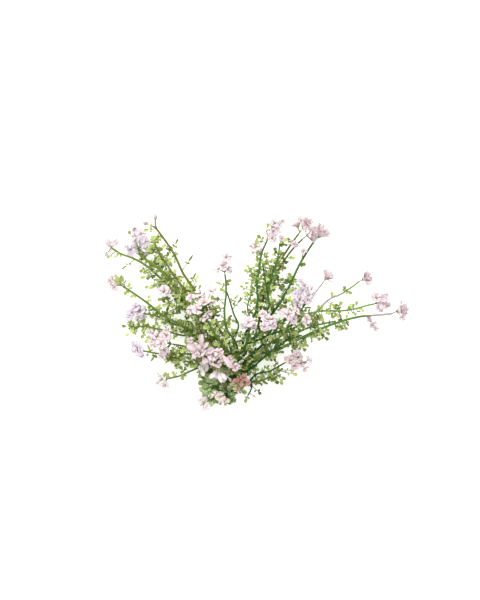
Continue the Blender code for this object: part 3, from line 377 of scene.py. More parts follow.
# Each head or cluster: its spray, the number of the twig, the fraction of that twig where it sits
# (1 is the tip), and its flowers as x, y, z and radius
BLOOMS = {
    "bloom_upper_left_near": ("spray_upper_left", 0, 1.0, [
        (-118, 66, 6, 6.2), (-110, 66, 14, 5.6), (-128, 64, 5, 5.4), (-111.5, 74, 10, 5.4),
        (-116, 82, 7, 5.2), (-124, 85, 5, 3.6),
    ]),
    "bloom_upper_left_far": ("spray_upper_left", 1, 1.0, [
        (-149, 72, 6, 4.6), (-141.5, 71.5, 9, 4.0), (-151.5, 60, 4.5, 2.6),
    ]),
    "bloom_upper_left_side": ("spray_upper_left", 2, 1.0, [(-92, 23, 32, 6.0)]),
    "bloom_left_high": ("spray_left_high", 0, 1.0, [
        (-142, 33, 8, 5.2), (-146, 28.5, 5, 4.4), (-146, 36.5, 6, 3.8),
    ]),
    "bloom_left_mid": ("spray_left_mid", 0, 1.0, [
        (-118.5, 4, 9, 6.0), (-126.5, 1, 7, 6.2), (-122, 7.5, 12, 4.8),
    ]),
    "bloom_left_front": ("spray_left_front", 0, 1.0, [
        (-91, -21.5, 31, 6.0), (-100, -22.5, 28, 6.2), (-96, -30, 34, 6.2), (-93, -37, 30, 5.8),
        (-95, -44, 25, 4.2),
    ]),
    "bloom_left_low": ("spray_left_low", 0, 1.0, [(-121, -36.5, 7.5, 6.6)]),
    "bloom_left_bottom": ("spray_left_bottom", 0, 1.0, [
        (-96.5, -67, 8, 6.0), (-91.5, -74, 6, 4.2),
    ]),
    "bloom_centre_tall": ("spray_centre_tall", 0, 1.0, [
        (-32.5, 48.5, 44, 5.4), (-38, 45, 41, 4.4), (-27, 44.5, 42, 4.4), (-29.5, 57, 43, 5.8),
    ]),
    "bloom_centre_left": ("spray_centre_left", 0, 1.0, [
        (-51.5, 12, 60, 6.0), (-56, 21, 57, 5.8), (-45, 23, 54, 5.0), (-65, 16.5, 56, 5.2),
        (-59, 4.5, 61.5, 5.4), (-66, 3.5, 55, 4.8),
    ]),
    "bloom_centre_front_left": ("spray_centre_front", 0, 1.0, [
        (-55, -26, 46, 5.8), (-64, -33.5, 42, 6.0), (-50, -31, 49, 5.6), (-56, -38.5, 46, 6.2),
    ]),
    "bloom_centre_front": ("spray_centre_front", 1, 1.0, [
        (-43, -42, 47, 5.8), (-45, -49, 43, 4.6), (-36.5, -38.5, 50, 5.0),
    ]),
    "bloom_centre_front_right": ("spray_centre_front", 2, 1.0, [
        (-26.5, -45.5, 46, 5.4), (-20.5, -54, 48, 4.8),
    ]),
    "bloom_top_left": ("spray_top", 0, 0.86, [(-0.5, 68.5, 39, 5.6)]),
    "bloom_top": ("spray_top", 0, 1.0, [
        (18.5, 83, 34, 5.6), (19, 92, 32, 5.4), (17, 75.5, 37, 4.6), (27.5, 93, 30, 3.6),
    ]),
    "bloom_top_right": ("spray_top", 2, 1.0, [(26.5, 75.5, 31, 4.0)]),
    "bloom_crown_right": ("spray_upper_right", 0, 1.0, [(65, 80, 8, 7.6)]),
    "bloom_crown_centre": ("spray_upper_right", 1, 1.0, [(53.5, 78.5, 22, 6.2)]),
    "bloom_crown_left": ("spray_upper_right", 2, 1.0, [(50, 88, 8, 7.0), (42, 88.5, 7, 4.8)]),
    "floret_right": ("spray_upper_right", 0, 0.84, [(48, 63.5, 20, 3.2)]),
    "floret_centre": ("spray_upper_right", 1, 0.89, [(39.5, 70, 27, 3.4)]),
    "bloom_right_top": ("spray_right_top", 0, 1.0, [
        (45, 15, 41, 6.0), (53.5, 20, 39, 5.8), (49.5, 28.5, 38, 5.2),
    ]),
    "bloom_right_top_tip": ("spray_right_top", 1, 1.0, [(71, 35.5, 22, 5.4)]),
    "bloom_right_high": ("spray_right_high", 0, 1.0, [(110, 35, 7, 5.8)]),
    "bloom_right_far": ("spray_right_high", 1, 1.0, [
        (122, 16.5, 13, 5.8), (130.5, 15, 9, 5.6), (126.5, 6, 11, 5.6), (134, 7.5, 7, 4.0),
    ]),
    "bloom_right_tip": ("spray_right_long", 0, 1.0, [(146, 2.5, 8.5, 7.4)]),
    "bloom_right_hanging": ("spray_right_long", 2, 1.0, [(118.5, -12.5, 6, 3.8)]),
    "bloom_right_low": ("spray_right_low", 1, 1.0, [
        (36, -47, 17, 5.8), (44, -44, 14, 5.4), (40, -53.5, 15, 4.8), (47, -51, 11, 4.2),
    ]),
    "bloom_heart_left": ("spray_centre_right", 0, 1.0, [
        (-8, -8, 55, 6.4), (-2, -12, 52, 4.6), (-13, -12, 51, 4.4),
    ]),
    "bloom_heart_centre": ("spray_centre_right", 1, 1.0, [
        (11.5, -5, 56, 6.4), (8, -13.5, 59, 4.6), (17, -11, 54, 5.2), (6.5, 0.5, 52, 4.4),
    ]),
    "bloom_heart_right": ("spray_centre_right", 2, 1.0, [
        (33, 0, 53, 6.2), (27.5, 2, 51, 4.6), (38, -5.5, 51, 5.2), (41, 3, 48, 4.2),
    ]),
    "bloom_heart_side": ("spray_centre_right", 3, 1.0, [(51.5, -6, 44, 4.6)]),
    "bloom_bottom_left": ("spray_bottom", 1, 1.0, [(-55.5, -91.5, 7, 7.0)]),
    "bloom_bottom_cream": ("spray_bottom", 2, 1.0, [(-36, -84, 20, 4.6)]),
    "bloom_low_pale": ("spray_bottom", 3, 1.0, [(-38.5, -59.5, 25, 5.2), (-30, -59.5, 23, 4.4)]),
    "bloom_low_pale_side": ("spray_left_low", 2, 1.0, [(-53.6, -54.5, 18, 5.2)]),
    "bloom_bottom_coral": ("spray_bottom_right", 0, 1.0, [
        (-17, -69, 25, 5.6), (-23, -74, 21, 4.4),
    ]),
}

# The heads that touch the surface, and how far their lowest petal would press into it
RESTING = (
    "bloom_upper_left_near", "bloom_left_high", "bloom_crown_right", "bloom_right_tip",
    "bloom_bottom_left",
)
PRESS = 0.02


class Curve:
    """The line of short straight runs that a stem's tube follows, measured along its length.

    It is drawn as a smooth line through a few points first, with STEPS runs between each two, and
    then kept at places about a step apart, and at the end of a stub where there is one. ways are
    its directions there.
    """

    STEPS = 10

    def __init__(self, points, step, stub=0.0):
        self.draw(points)
        self.smooth = self.line
        count = max(2, round(self.length / step))
        fractions = [k / count for k in range(count + 1)]
        if stub:
            fractions.insert(1, stub / self.length)
        kept = [self.at(fraction) for fraction in fractions]
        self.ways = [way for _, way in kept]
        self.measure([point for point, _ in kept])

    def draw(self, points):
        spans = [(b - a).length for a, b in zip(points, points[1:])]
        runs = [(b - a) / span for a, b, span in zip(points, points[1:], spans)]
        ways = [runs[0]]
        for k in range(1, len(runs)):
            mixed = runs[k - 1] * spans[k] + runs[k] * spans[k - 1]
            ways.append(mixed / (spans[k - 1] + spans[k]))
        ways.append(runs[-1])
        line = []
        for k, span in enumerate(spans):
            start, end = (points[k], ways[k] * span), (points[k + 1], ways[k + 1] * span)
            line += [self.between(*start, *end, step / self.STEPS) for step in range(self.STEPS)]
        line.append(points[-1].copy())
        self.measure(line)

    def measure(self, line):
        self.line = line
        self.reach = [0.0]
        for a, b in zip(line, line[1:]):
            self.reach.append(self.reach[-1] + (b - a).length)
        self.length = self.reach[-1]

    @staticmethod
    def between(a, way_a, b, way_b, t):
        """The Hermite point at t between a and b."""
        bend = t * t * (3 - 2 * t)
        return a * (1 - bend) + b * bend + way_a * (t * (1 - t) ** 2) - way_b * (t * t * (1 - t))

    def at(self, fraction):
        """The point and the direction at a fraction of the length."""
        goal = min(max(fraction, 0.0), 1.0) * self.length
        k = int(np.searchsorted(self.reach, goal))
        k = min(max(k, 1), len(self.line) - 1)
        a, b = self.line[k - 1], self.line[k]
        share = (goal - self.reach[k - 1]) / max(self.reach[k] - self.reach[k - 1], 1e-9)
        return a.lerp(b, share), (b - a).normalized()

    def end(self):
        """The last point and the way in which the tube ends there."""
        return self.line[-1], self.ways[-1]

    def nearest(self, place, flat=False):
        """The fraction of the length that lies nearest to a place, seen from above when flat."""
        goal = Vector((place[0], place[1], 0.0 if flat else place[2]))
        count = round(self.length / PROBE_STEP)
        best, found = None, 0.0
        for k in range(count + 1):
            point, _ = self.at(k / count)
            spot = Vector((point.x, point.y, 0.0)) if flat else point
            distance = (spot - goal).length
            if best is None or distance < best:
                best, found = distance, k / count
        return found


class Room:
    """The space already taken, as balls that each belong to a node."""

    SIZE = 12000

    def __init__(self):
        self.balls = np.zeros((self.SIZE, 4))
        self.owner = np.full(self.SIZE, -1)
        self.leafy = np.zeros(self.SIZE, dtype=bool)
        self.count = 0

    def take(self, balls, owner, leafy=False):
        for centre, radius in balls:
            self.balls[self.count] = (*centre, radius)
            self.owner[self.count] = owner
            self.leafy[self.count] = leafy
            self.count += 1

    def is_clear(self, balls, owner):
        """Whether balls keep LEAF_GAP to other nodes and OWN_LEAF_GAP to leaves of their own."""
        taken = self.balls[: self.count]
        own = self.owner[: self.count] == owner
        watched = ~own | self.leafy[: self.count]
        gap = np.where(own, OWN_LEAF_GAP, LEAF_GAP)
        for centre, radius in balls:
            apart = np.linalg.norm(taken[:, :3] - np.array(centre), axis=1)
            distance = apart - taken[:, 3] - radius
            if np.any(watched & (distance < gap)):
                return False
        return True


class Leaf:
    """A spoon-shaped leaf on its stalk."""

    def __init__(self, root, direction, facing, stalk, length):
        self.root = root
        self.along = direction.normalized()
        self.normal = (facing - facing.dot(self.along) * self.along).normalized()
        self.across = self.along.cross(self.normal)
        self.stalk = stalk
        self.length = length
        self.width = length * LEAF_WIDTH_RATIO

    def place(self, x, y, z):
        return self.root + self.across * x + self.along * y + self.normal * z

    def balls(self):
        """Balls that cover the blade, and the stalk where it is long."""
        sizes = ((0.30, 0.30), (0.60, 0.50), (0.88, 0.26))
        spots = [(self.stalk + self.length * at, self.width * half) for at, half in sizes]
        spots += [(k, STALK_HALF) for k in range(2, int(self.stalk))]
        return [(self.place(0, y, 0), radius) for y, radius in spots]

    def lowest(self):
        """The height of the solid's lowest corner: it has three to a ring and one at the tip."""
        cup = self.length * LEAF_CUP
        rings = [(ROOT_INSET, STALK_HALF, STALK_TOP, STALK_KEEL)]
        if self.stalk > LONG_STALK:
            rings.append((self.stalk, NECK_HALF, STALK_TOP, STALK_KEEL))
        widest = self.stalk + self.length * LEAF_WIDEST
        rings.append((widest, self.width / 2, cup, cup - LEAF_THICKNESS))
        corners = [self.place(0, self.stalk + self.length, 0)]
        for y, half, top, keel in rings:
            corners += [self.place(-half, y, top), self.place(half, y, top), self.place(0, y, keel)]
        return min(corner.z for corner in corners)


def petal_edge(middle, radius):
    """The angle, reach and rise of the points round one petal, from the notch before it."""
    edge = [
        (middle - math.pi / PETALS, NOTCH_RADIUS, 0.0),
        (middle - SHOULDER_TURN, SHOULDER_RADIUS, SHOULDER_RISE),
    ]
    if radius > SMALL_FLOWER:
        edge.append((middle, 1.0, TIP_RISE))
    edge.append((middle + SHOULDER_TURN, SHOULDER_RADIUS, SHOULDER_RISE))
    return edge


def turned(across, other, angle):
    """The direction at an angle between two that stand square to each other."""
    return across * math.cos(angle) + other * math.sin(angle)


def rim_corners(flower):
    """The corners round the rim of a flower's solid, petal by petal."""
    centre, axis, radius, turn = flower
    u = axis.orthogonal().normalized()
    v = axis.cross(u)
    corners = []
    for petal in range(PETALS):
        for angle, out, rise in petal_edge(turn + 2 * math.pi * petal / PETALS, radius):
            corners.append(centre + turned(u, v, angle) * (radius * out) + axis * (radius * rise))
    return corners


def seat_on_side(curve, base, tip, fraction, towards):
    """Where a stub starts on the side of a stem with these radii, and the way it leaves."""
    centre, along = curve.at(fraction)
    away = Vector(towards) - centre
    away = (away - away.dot(along) * along).normalized()
    radius = base + (tip - base) * fraction
    return centre + away * (radius + SEAT_GAP), away


def lay_out_stems():
    """Gives every twig its curve and returns the main stem's."""
    main = Curve([Vector(p) for p in MAIN_ROUTE], MAIN_STEP)
    for seat, twigs in SPRAYS.values():
        for twig in twigs:
            if twig.host is not None:
                host = twigs[twig.host].curve
                route = [host.at(host.nearest(twig.route[0]))[0], *twig.route[1:]]
            elif seat >= 1.0:
                tip, along = main.end()
                route = [tip + along * SEAT_GAP, tip + along * (SEAT_GAP + SEAT_STUB), *twig.route]
            else:
                radii = MAIN_BASE_RADIUS, MAIN_TIP_RADIUS
                start, away = seat_on_side(main, *radii, seat, twig.route[0])
                route = [start, start + away * SEAT_STUB, *twig.route]
            twig.curve = Curve(route, TWIG_STEP, SEAT_STUB if twig.host is None else 0.0)
    return main


def tube_balls(curve, base, tip):
    count = max(2, round(curve.length / PROBE_STEP))
    return [(curve.at(k / count)[0], base + (tip - base) * k / count) for k in range(count + 1)]


class Head:
    """A cluster of flowers: where it starts, and each flower's centre, axis, radius and turn."""

    def __init__(self, name, rng):
        spray, number, fraction, flowers = BLOOMS[name]
        twig = SPRAYS[spray][1][number]
        if fraction >= 1.0:
            tip, self.away = twig.curve.end()
            self.start = tip + self.away * SEAT_GAP
        else:
            radii, first = (twig.base, twig.tip), flowers[0][:3]
            self.start, self.away = seat_on_side(twig.curve, *radii, fraction, first)
        self.knot = self.start + self.away * SEAT_STUB
        self.flowers = []
        for x, y, z, radius in flowers:
            centre = Vector((x, y, z))
            outward = (centre - self.knot).normalized()
            jitter = Vector((rng.uniform(-1, 1), rng.uniform(-1, 1), rng.uniform(-0.4, 1))) * 0.3
            axis = (outward * 0.75 + UP * 0.55 + jitter).normalized()
            while axis.dot(outward) < LEAST_FACING:
                axis = (axis + outward * 0.2).normalized()
            size = radius * (CLUSTER_SCALE if len(flowers) > 1 else 1.0)
            self.flowers.append((centre, axis, size, rng.uniform(0, 2 * math.pi)))
        if name in RESTING:
            self.let_down()

    def let_down(self):
        """Lowers the flowers until the lowest petal touches the surface.

        As in the solids, only as many corners of each rim count as a small flower has.
        """
        watched = [rim_corners(flower)[: 3 * PETALS] for flower in self.flowers]
        drop = UP * (min(corner.z for corners in watched for corner in corners) + PRESS)
        self.flowers = [(centre - drop, *rest) for centre, *rest in self.flowers]

    def balls(self):
        result = [(self.knot, STALK_RADIUS)]
        for centre, axis, radius, _ in self.flowers:
            result.append((centre + axis * radius * 0.2, radius))
            result.append((centre - axis * radius * 0.4, radius * 0.45))
            result.append((self.knot.lerp(centre, 0.4), STALK_RADIUS))
        return result


def marked_leaf(twig, mark, lift, rng):
    """A leaf whose blade lies at a mark, on a stalk from the nearest stretch of its twig."""
    x, y = mark
    fraction = twig.curve.nearest((x, y), flat=True)
    root, _ = twig.curve.at(fraction)
    distance = math.hypot(x - root.x, y - root.y)
    root, along = twig.curve.at(fraction - 0.35 * distance / twig.curve.length)
    length = twig.leaf * rng.uniform(0.95, 1.1)
    centre = Vector((x, y, root.z + lift + 0.12 * distance))
    reach = (centre - root).length
    direction = (centre - root) / reach + along * 0.15
    facing = UP + Vector((rng.uniform(-1, 1), rng.uniform(-1, 1), 0)) * 0.35
    return Leaf(root, direction, facing, max(reach - length * 0.5, 0.9), length)


def paired_leaf(twig, fraction, sign, rng):
    """A leaf to the left or the right of its twig."""
    root, along = twig.curve.at(fraction)
    side = along.cross(UP).normalized() * sign
    lean = math.radians(rng.uniform(35, 75))
    direction = turned(along, side, lean) + UP * rng.uniform(-0.5, 0.7)
    facing = UP + along * rng.uniform(-0.3, 0.6) + side * rng.uniform(-0.5, 0.5)
    length = twig.leaf * rng.uniform(0.85, 1.15)
    return Leaf(root, direction, facing, rng.uniform(1.6, 5.5), length)


def grow_leaves(room, owners):
    """Each twig's marked leaves and then its pairs, where there is room for them, by spray."""
    rng = random.Random(SEED)
    leaves = {name: [] for name in SPRAYS}

    def settle(name, candidates):
        for leaf in candidates:
            if leaf.lowest() > FLOOR_GAP and room.is_clear(leaf.balls(), owners[name]):
                room.take(leaf.balls(), owners[name], leafy=True)
                leaves[name].append(leaf)
                return

    for name, (_, twigs) in SPRAYS.items():
        for twig in twigs:
            for mark in twig.marks:
                settle(name, [marked_leaf(twig, mark, lift, rng) for lift in MARK_LIFTS])
    for name, (_, twigs) in SPRAYS.items():
        for twig in twigs:
            for pair in range(twig.pairs):
                start, end = twig.span
                fraction = start + (end - start) * (pair + rng.uniform(0.3, 0.7)) / twig.pairs
                for sign in (-1, 1):
                    settle(name, [paired_leaf(twig, fraction, sign, rng) for _ in range(TRIES)])
    return leaves


def plan_plant():
    """Works out every curve, head and leaf. Nothing is modelled yet."""
    main = lay_out_stems()
    room = Room()
    names = ["main_stem", *SPRAYS, *BLOOMS]
    owners = {name: number for number, name in enumerate(names)}
    room.take(tube_balls(main, MAIN_BASE_RADIUS, MAIN_TIP_RADIUS), owners["main_stem"])
    for name, (_, twigs) in SPRAYS.items():
        for twig in twigs:
            room.take(tube_balls(twig.curve, twig.base, twig.tip), owners[name])
            if twig.bud:
                room.take([(twig.curve.end()[0], twig.bud * 1.6)], owners[name])
    rng = random.Random(SEED + 1)
    heads = {name: Head(name, rng) for name in BLOOMS}
    for name, head in heads.items():
        room.take(head.balls(), owners[name])
    return main, heads, grow_leaves(room, owners)


# Fine shapes, in millimetres


def unit(way):
    return way / max(float(np.linalg.norm(way)), 1e-9)


def held(value):
    """A value kept between 0 and 1."""
    return min(max(value, 0), 1)


def square_to(way):
    """Two directions that stand square to a way and to each other."""
    across = unit(np.cross(way, (0.0, 0.0, 1.0) if abs(way[2]) < 0.9 else (1.0, 0.0, 0.0)))
    return across, np.cross(way, across)


class Path:
    """A fine line of points, measured along its length."""

    def __init__(self, points):
        self.points = np.array([tuple(point) for point in points])
        runs = np.linalg.norm(np.diff(self.points, axis=0), axis=1)
        self.reach = np.concatenate(([0.0], np.cumsum(runs)))
        self.length = float(self.reach[-1])

    def at(self, fraction):
        """The point and the direction at a fraction of the length."""
        goal = min(max(fraction, 0.0), 1.0) * self.length
        k = min(max(int(np.searchsorted(self.reach, goal)), 1), len(self.points) - 1)
        share = (goal - self.reach[k - 1]) / max(self.reach[k] - self.reach[k - 1], 1e-9)
        a, b = self.points[k - 1], self.points[k]
        return a + (b - a) * share, unit(b - a)

    def distance(self, place):
        """How near the line comes to a place."""
        return float(np.min(np.linalg.norm(self.points - place, axis=1)))

    def nearest(self, place):
        """The fraction of the length nearest to a place."""
        k = int(np.argmin(np.linalg.norm(self.points - place, axis=1)))
        return float(self.reach[k]) / self.length


def link(name, data):
    """A new object of the scene that carries data."""
    thing = bpy.data.objects.new(name, data)
    bpy.context.scene.collection.objects.link(thing)
    return thing


class Draft:
    """Closed shells gathered for one piece. Each point is marked with its tone, rim and reach."""

    def __init__(self):
        self.points = []
        self.faces = []
        self.marks = []
        self.slots = []
        self.count = 0

    def add(self, shell, slot, tone, rim, reach):
        """Adds a shell, given as its points and faces."""
        points, faces = shell
        marks = np.empty((len(points), 3))
        marks[:, 0] = tone
        marks[:, 1] = rim
        marks[:, 2] = reach
        self.points.append(points)
        self.faces.append(faces + self.count)
        self.marks.append(marks)
        self.slots.append(np.full(len(faces), slot))
        self.count += len(points)

    def shift_tone(self, slot, amount):
        """Makes all shells of one slot lighter or darker."""
        for slots, marks in zip(self.slots, self.marks):
            if slots[0] == slot:
                marks[:, 0] = np.clip(marks[:, 0] + amount, 0, 1)

    def piece(self, name, finishes):
        """The piece's object, in metres. What would dip under the floor is pressed flat above it."""
        points = np.concatenate(self.points)
        low = points[:, 2] < PRESS_HEIGHT
        points[low, 2] = PRESS_HEIGHT ** 2 / (2 * PRESS_HEIGHT - points[low, 2])
        points *= MM
        faces = np.concatenate(self.faces)
        mesh = bpy.data.meshes.new(name)
        mesh.vertices.add(len(points))
        mesh.vertices.foreach_set("co", points.ravel())
        mesh.loops.add(faces.size)
        mesh.loops.foreach_set("vertex_index", faces.ravel())
        mesh.polygons.add(len(faces))
        mesh.polygons.foreach_set("loop_start", np.arange(0, faces.size, 3))
        mesh.polygons.foreach_set("material_index", np.concatenate(self.slots))
        marks = mesh.attributes.new("marks", "FLOAT_VECTOR", "POINT")
        marks.data.foreach_set("vector", np.concatenate(self.marks).ravel())
        for finish in finishes:
            mesh.materials.append(finish)
        mesh.update(calc_edges=True)
        mesh.validate()
        mesh.shade_smooth()
        return link(name, mesh)


def circle(across, other, sides):
    """A ring of points one unit from its middle, in the plane of two square directions."""
    angles = 2 * math.pi * np.arange(sides) / sides
    return np.outer(np.cos(angles), across) + np.outer(np.sin(angles), other)


def belt(first, sides):
    """The faces between two rings of points, the first of which starts at the point first."""
    k = np.arange(sides)
    a, b = first + k, first + (k + 1) % sides
    return [np.stack((a, b, b + sides), 1), np.stack((a, b + sides, a + sides), 1)]


def round_tube(line, radii, sides):
    """Points and faces of a closed tube with rounded ends along a line of points."""
    line = np.asarray(line, dtype=float)
    radii = np.broadcast_to(np.asarray(radii, dtype=float), (len(line),))
    ways = np.gradient(line, axis=0)
    across, _ = square_to(unit(ways[0]))
    rings = []
    for point, way, radius in zip(line, ways, radii):
        way = unit(way)
        across = unit(across - across.dot(way) * way)
        rings.append(point + radius * circle(across, np.cross(way, across), sides))
    start = line[0] - unit(ways[0]) * radii[0] * TUBE_DOME
    end = line[-1] + unit(ways[-1]) * radii[-1] * TUBE_DOME
    points = np.concatenate(rings + [[start], [end]])
    faces = []
    for ring in range(len(line) - 1):
        faces += belt(ring * sides, sides)
    k = np.arange(sides)
    following = (k + 1) % sides
    last = (len(line) - 1) * sides
    poles = np.full(sides, len(points) - 2)
    faces.append(np.stack((following, k, poles), 1))
    faces.append(np.stack((last + k, last + following, poles + 1), 1))
    return points, np.concatenate(faces)


def pillow(rows, columns):
    """A closed sheet of two sides with one rim: u along, v across, the side, and the faces."""
    spots, index, faces = [], {}, []

    def corner(i, j, side):
        if i in (0, rows):
            key = (i, 0, 0)
        elif j in (0, columns):
            key = (i, j, 0)
        else:
            key = (i, j, side)
        if key not in index:
            index[key] = len(spots)
            middle = 0.0 if i in (0, rows) else 2.0 * j / columns - 1.0
            eased = 0.5 - 0.5 * math.cos(math.pi * i / rows)
            spots.append((0.35 * i / rows + 0.65 * eased, middle, key[2]))
        return index[key]

    for side in (1, -1):
        for i in range(rows):
            for j in range(columns):
                square = ((i, j), (i, j + 1), (i + 1, j + 1), (i + 1, j))
                ring = [corner(*spot, side) for spot in square][::side]
                for face in ((ring[0], ring[1], ring[2]), (ring[0], ring[2], ring[3])):
                    if len(set(face)) == 3:
                        faces.append(face)
    spots = np.array(spots)
    return spots[:, 0], spots[:, 1], spots[:, 2], np.array(faces)


def outline(u, lower, upper):
    """The half width along a blade, 1 at its widest: lower shapes the foot and upper the tip."""
    widest = lower / (lower + upper)
    return (u / widest) ** lower * ((1 - u) / (1 - widest)) ** upper


LEAF_SHEET = pillow(6, 4)
SMALL_SHEET = pillow(5, 2)
PETAL_SHEET = pillow(7, 8)
INNER_SHEET = pillow(5, 6)


def add_leaf(draft, base, along, normal, length, width, tone, reach, rng, lance=False, small=False):
    """A thin cupped blade with a sunk midrib, rounded like a spoon or narrow like a lance."""
    u, v, side, faces = SMALL_SHEET if small else LEAF_SHEET
    along = unit(along)
    normal = unit(normal - normal.dot(along) * along)
    across = np.cross(along, normal)
    half = outline(u, *(LANCE_SHAPE if lance else SPOON_SHAPE))
    cup = rng.uniform(0.1, 0.55)
    droop = rng.uniform(-0.3, 0.55)
    twist = rng.uniform(-0.5, 0.5)
    x = v * half * width / 2
    y = u * length * (1 - 0.35 * droop * u)
    z = cup * width * (v * v - 0.25) * half + length * droop * (0.5 * u - u * u)
    swell = side * LEAF_HALF_THICKNESS * (1 - v * v) * np.sqrt(np.maximum(half, 0.0))
    z = z + swell + x * twist * u
    points = base + np.outer(x, across) + np.outer(y, along) + np.outer(z, normal)
    # The rim mark, towards the edge and the tip, is where the leaf finish paints a paler highlight.
    rim = np.maximum(np.abs(v) ** 1.5, np.clip((u - 0.8) * 4, 0, 1))
    draft.add((points, faces), LEAF, tone, rim, reach)


def along_bow(start, end, bow, steps):
    """Places on a stalk that bows a little on its way."""
    middle = (start + end) / 2 + bow
    return start * (1 - steps) ** 2 + middle * 2 * steps * (1 - steps) + end * steps ** 2


def add_stalk(draft, start, end, radius, slot, tone, reach, sides=4, bow=STRAIGHT):
    """A short stalk that narrows towards its end, straight or with a bow on its way."""
    line = along_bow(start, end, bow, np.linspace(0, 1, STALK_RINGS)[:, None])
    radii = np.linspace(radius * 1.25, radius * 0.8, STALK_RINGS)
    draft.add(round_tube(line, radii, sides), slot, tone, 0.0, reach)


def add_sprig(
        draft, root, direction, normal, stalk, length, width, reach, rng, sides=2, lance=False):
    """A stalk with one leaf at its end and smaller ones beside it."""
    tone = rng.random()
    end = root + unit(direction) * stalk
    bow = np.array([rng.uniform(-1, 1), rng.uniform(-1, 1), rng.uniform(0, 1)]) * stalk * 0.1
    add_stalk(draft, root, end, LEAF_STALK_RADIUS, STALK, tone, reach, bow=bow)
    add_leaf(draft, end, direction, normal, length, width, tone, reach, rng, lance)
    along = unit(direction)
    across = np.cross(along, unit(normal))
    for number in range(sides):
        sign = -1 if number % 2 else 1
        lean = math.radians(rng.uniform(*SIDE_OPENING))
        way = turned(along, sign * across, lean) + normal * rng.uniform(-0.2, 0.5)
        spot = along_bow(root, end, bow, rng.uniform(0.55, 0.95))
        size = length * rng.uniform(0.5, 0.78)
        tilt = normal + across * rng.uniform(-0.5, 0.5) + along * rng.uniform(-0.3, 0.3)
        side_tone = held(tone + rng.uniform(-0.25, 0.25))
        breadth = size * rng.uniform(0.55, 0.75)
        add_leaf(draft, spot, way, tilt, size, breadth, side_tone, reach, rng, small=True)


def add_bud(draft, base, direction, radius, tone, reach, slot):
    """A closed bud, round below and pointed above."""
    line = base + np.outer(BUD_STEPS * radius, unit(direction))
    shell = round_tube(line, BUD_RADII * radius, ROUND_SIDES)
    rim = np.linspace(0, 1, len(BUD_STEPS)).repeat(ROUND_SIDES)
    draft.add(shell, slot, tone, np.concatenate((rim, (0, 1))), reach)


def add_lobe(draft, base, out, axis, length, width, climb, curl, tone, rng, sheet, fan=0.0):
    """A puffy petal: a narrow claw or a fan, then a wavy, notched lobe that curls out."""
    u, v, side, faces = sheet
    across = np.cross(axis, out)
    beyond = (u - LOBE_MIDDLE) / (1.0 - LOBE_MIDDLE)
    lobe = np.sqrt(np.clip(1 - beyond ** 2, 0, 1)) * (u > LOBE_MIDDLE)
    lobe += np.exp(-(((u - LOBE_MIDDLE) / 0.27) ** 2)) * (u <= LOBE_MIDDLE)
    half = np.maximum(lobe, (0.24 + fan * u) * np.sqrt(np.clip(u * 8, 0, 1)) * (u < LOBE_MIDDLE))
    phase = rng.uniform(0, 2 * math.pi)
    notch = rng.uniform(0.0, 0.12) * np.exp(-((v / 0.35) ** 2)) * np.clip((u - 0.6) / 0.4, 0, 1)
    ruffle = 0.05 * u * u * np.sin(v * 3.4 + phase) + 0.02 * u * np.sin(7.0 * v + 8 * u + phase)
    bend = rng.uniform(-0.18, 0.18)
    y = length * (u - notch)
    x = width / 2 * v * half * (1 + 0.07 * np.sin(9 * u + phase)) + bend * length * u * u
    angle = climb - curl * u * u
    rise = y * np.sin(angle) + length * (ruffle + 0.2 * v * v * half * u)
    spread = y * np.cos(angle)
    swell = side * PETAL_HALF_THICKNESS * (1 - v * v) * np.sqrt(np.maximum(half, 0.0))
    points = base + np.outer(x, across) + np.outer(spread, out) + np.outer(rise + swell, axis)
    rim = np.clip(np.maximum(np.abs(v) ** 3, (u - 0.75) * 3.6), 0, 1)
    draft.add((points, faces), PETAL, tone, rim, u)


def add_cup(draft, foot, axis, radius, turn, tone, rng, sepals=SEPALS):
    """The green cup under a blossom and its pointed sepals."""
    girths = np.array([0.55, 0.15 * radius + 0.3, 0.2 * radius + 0.2, 0.22 * radius])
    shell = round_tube(foot + np.outer(CUP_HEIGHTS * radius, axis), girths, ROUND_SIDES)
    draft.add(shell, LEAF, tone * 0.5, 0.0, 1.0)
    across, other = square_to(axis)
    for number in range(sepals):
        out = turned(across, other, turn + 2 * math.pi * (number + 0.5) / sepals)
        way, face = out * 0.62 + axis * 0.78, axis - out * 0.6
        base = foot + axis * radius * 0.12 + out * 0.15 * radius
        length, width = radius * 0.55, radius * 0.24
        add_leaf(draft, base, way, face, length, width, tone, 1.0, rng, lance=True, small=True)


def add_blossom(draft, foot, axis, radius, turn, rng, rings):
    """A blossom on its foot: green cup, sepals, rings of lobes and the threads in its throat."""
    across, other = square_to(axis)
    tone = rng.random()
    add_cup(draft, foot, axis, radius, turn, rng.random(), rng)
    for ring, (count, sheet, lift, size, breadth, climb, curl, fan) in enumerate(rings):
        for number in range(count):
            angle = turn + 2 * math.pi * (number + 0.5 * ring) / count + rng.uniform(-0.22, 0.22)
            out = turned(across, other, angle)
            base = foot + axis * radius * lift + out * radius * 0.08
            petal_tone = held(tone + rng.uniform(-0.45, 0.45))
            length = radius * size * rng.uniform(0.85, 1.12)
            width = radius * breadth * rng.uniform(0.85, 1.15)
            slopes = climb + rng.uniform(-0.3, 0.3), curl + rng.uniform(-0.25, 0.3)
            add_lobe(draft, base, out, axis, length, width, *slopes, petal_tone, rng, sheet, fan)
    for number in range(THREADS):
        out = turned(across, other, turn + 2 * math.pi * number / THREADS + 0.4)
        base = foot + axis * radius * 0.3
        tip = base + axis * radius * rng.uniform(0.4, 0.5) + out * radius * rng.uniform(0.05, 0.12)
        add_stalk(draft, base, tip, THREAD_RADIUS, THREAD, 0.5, 1.0, 3)
        add_bud(draft, tip, axis, THREAD_TIP_RADIUS, 0.5, 1.0, THREAD)


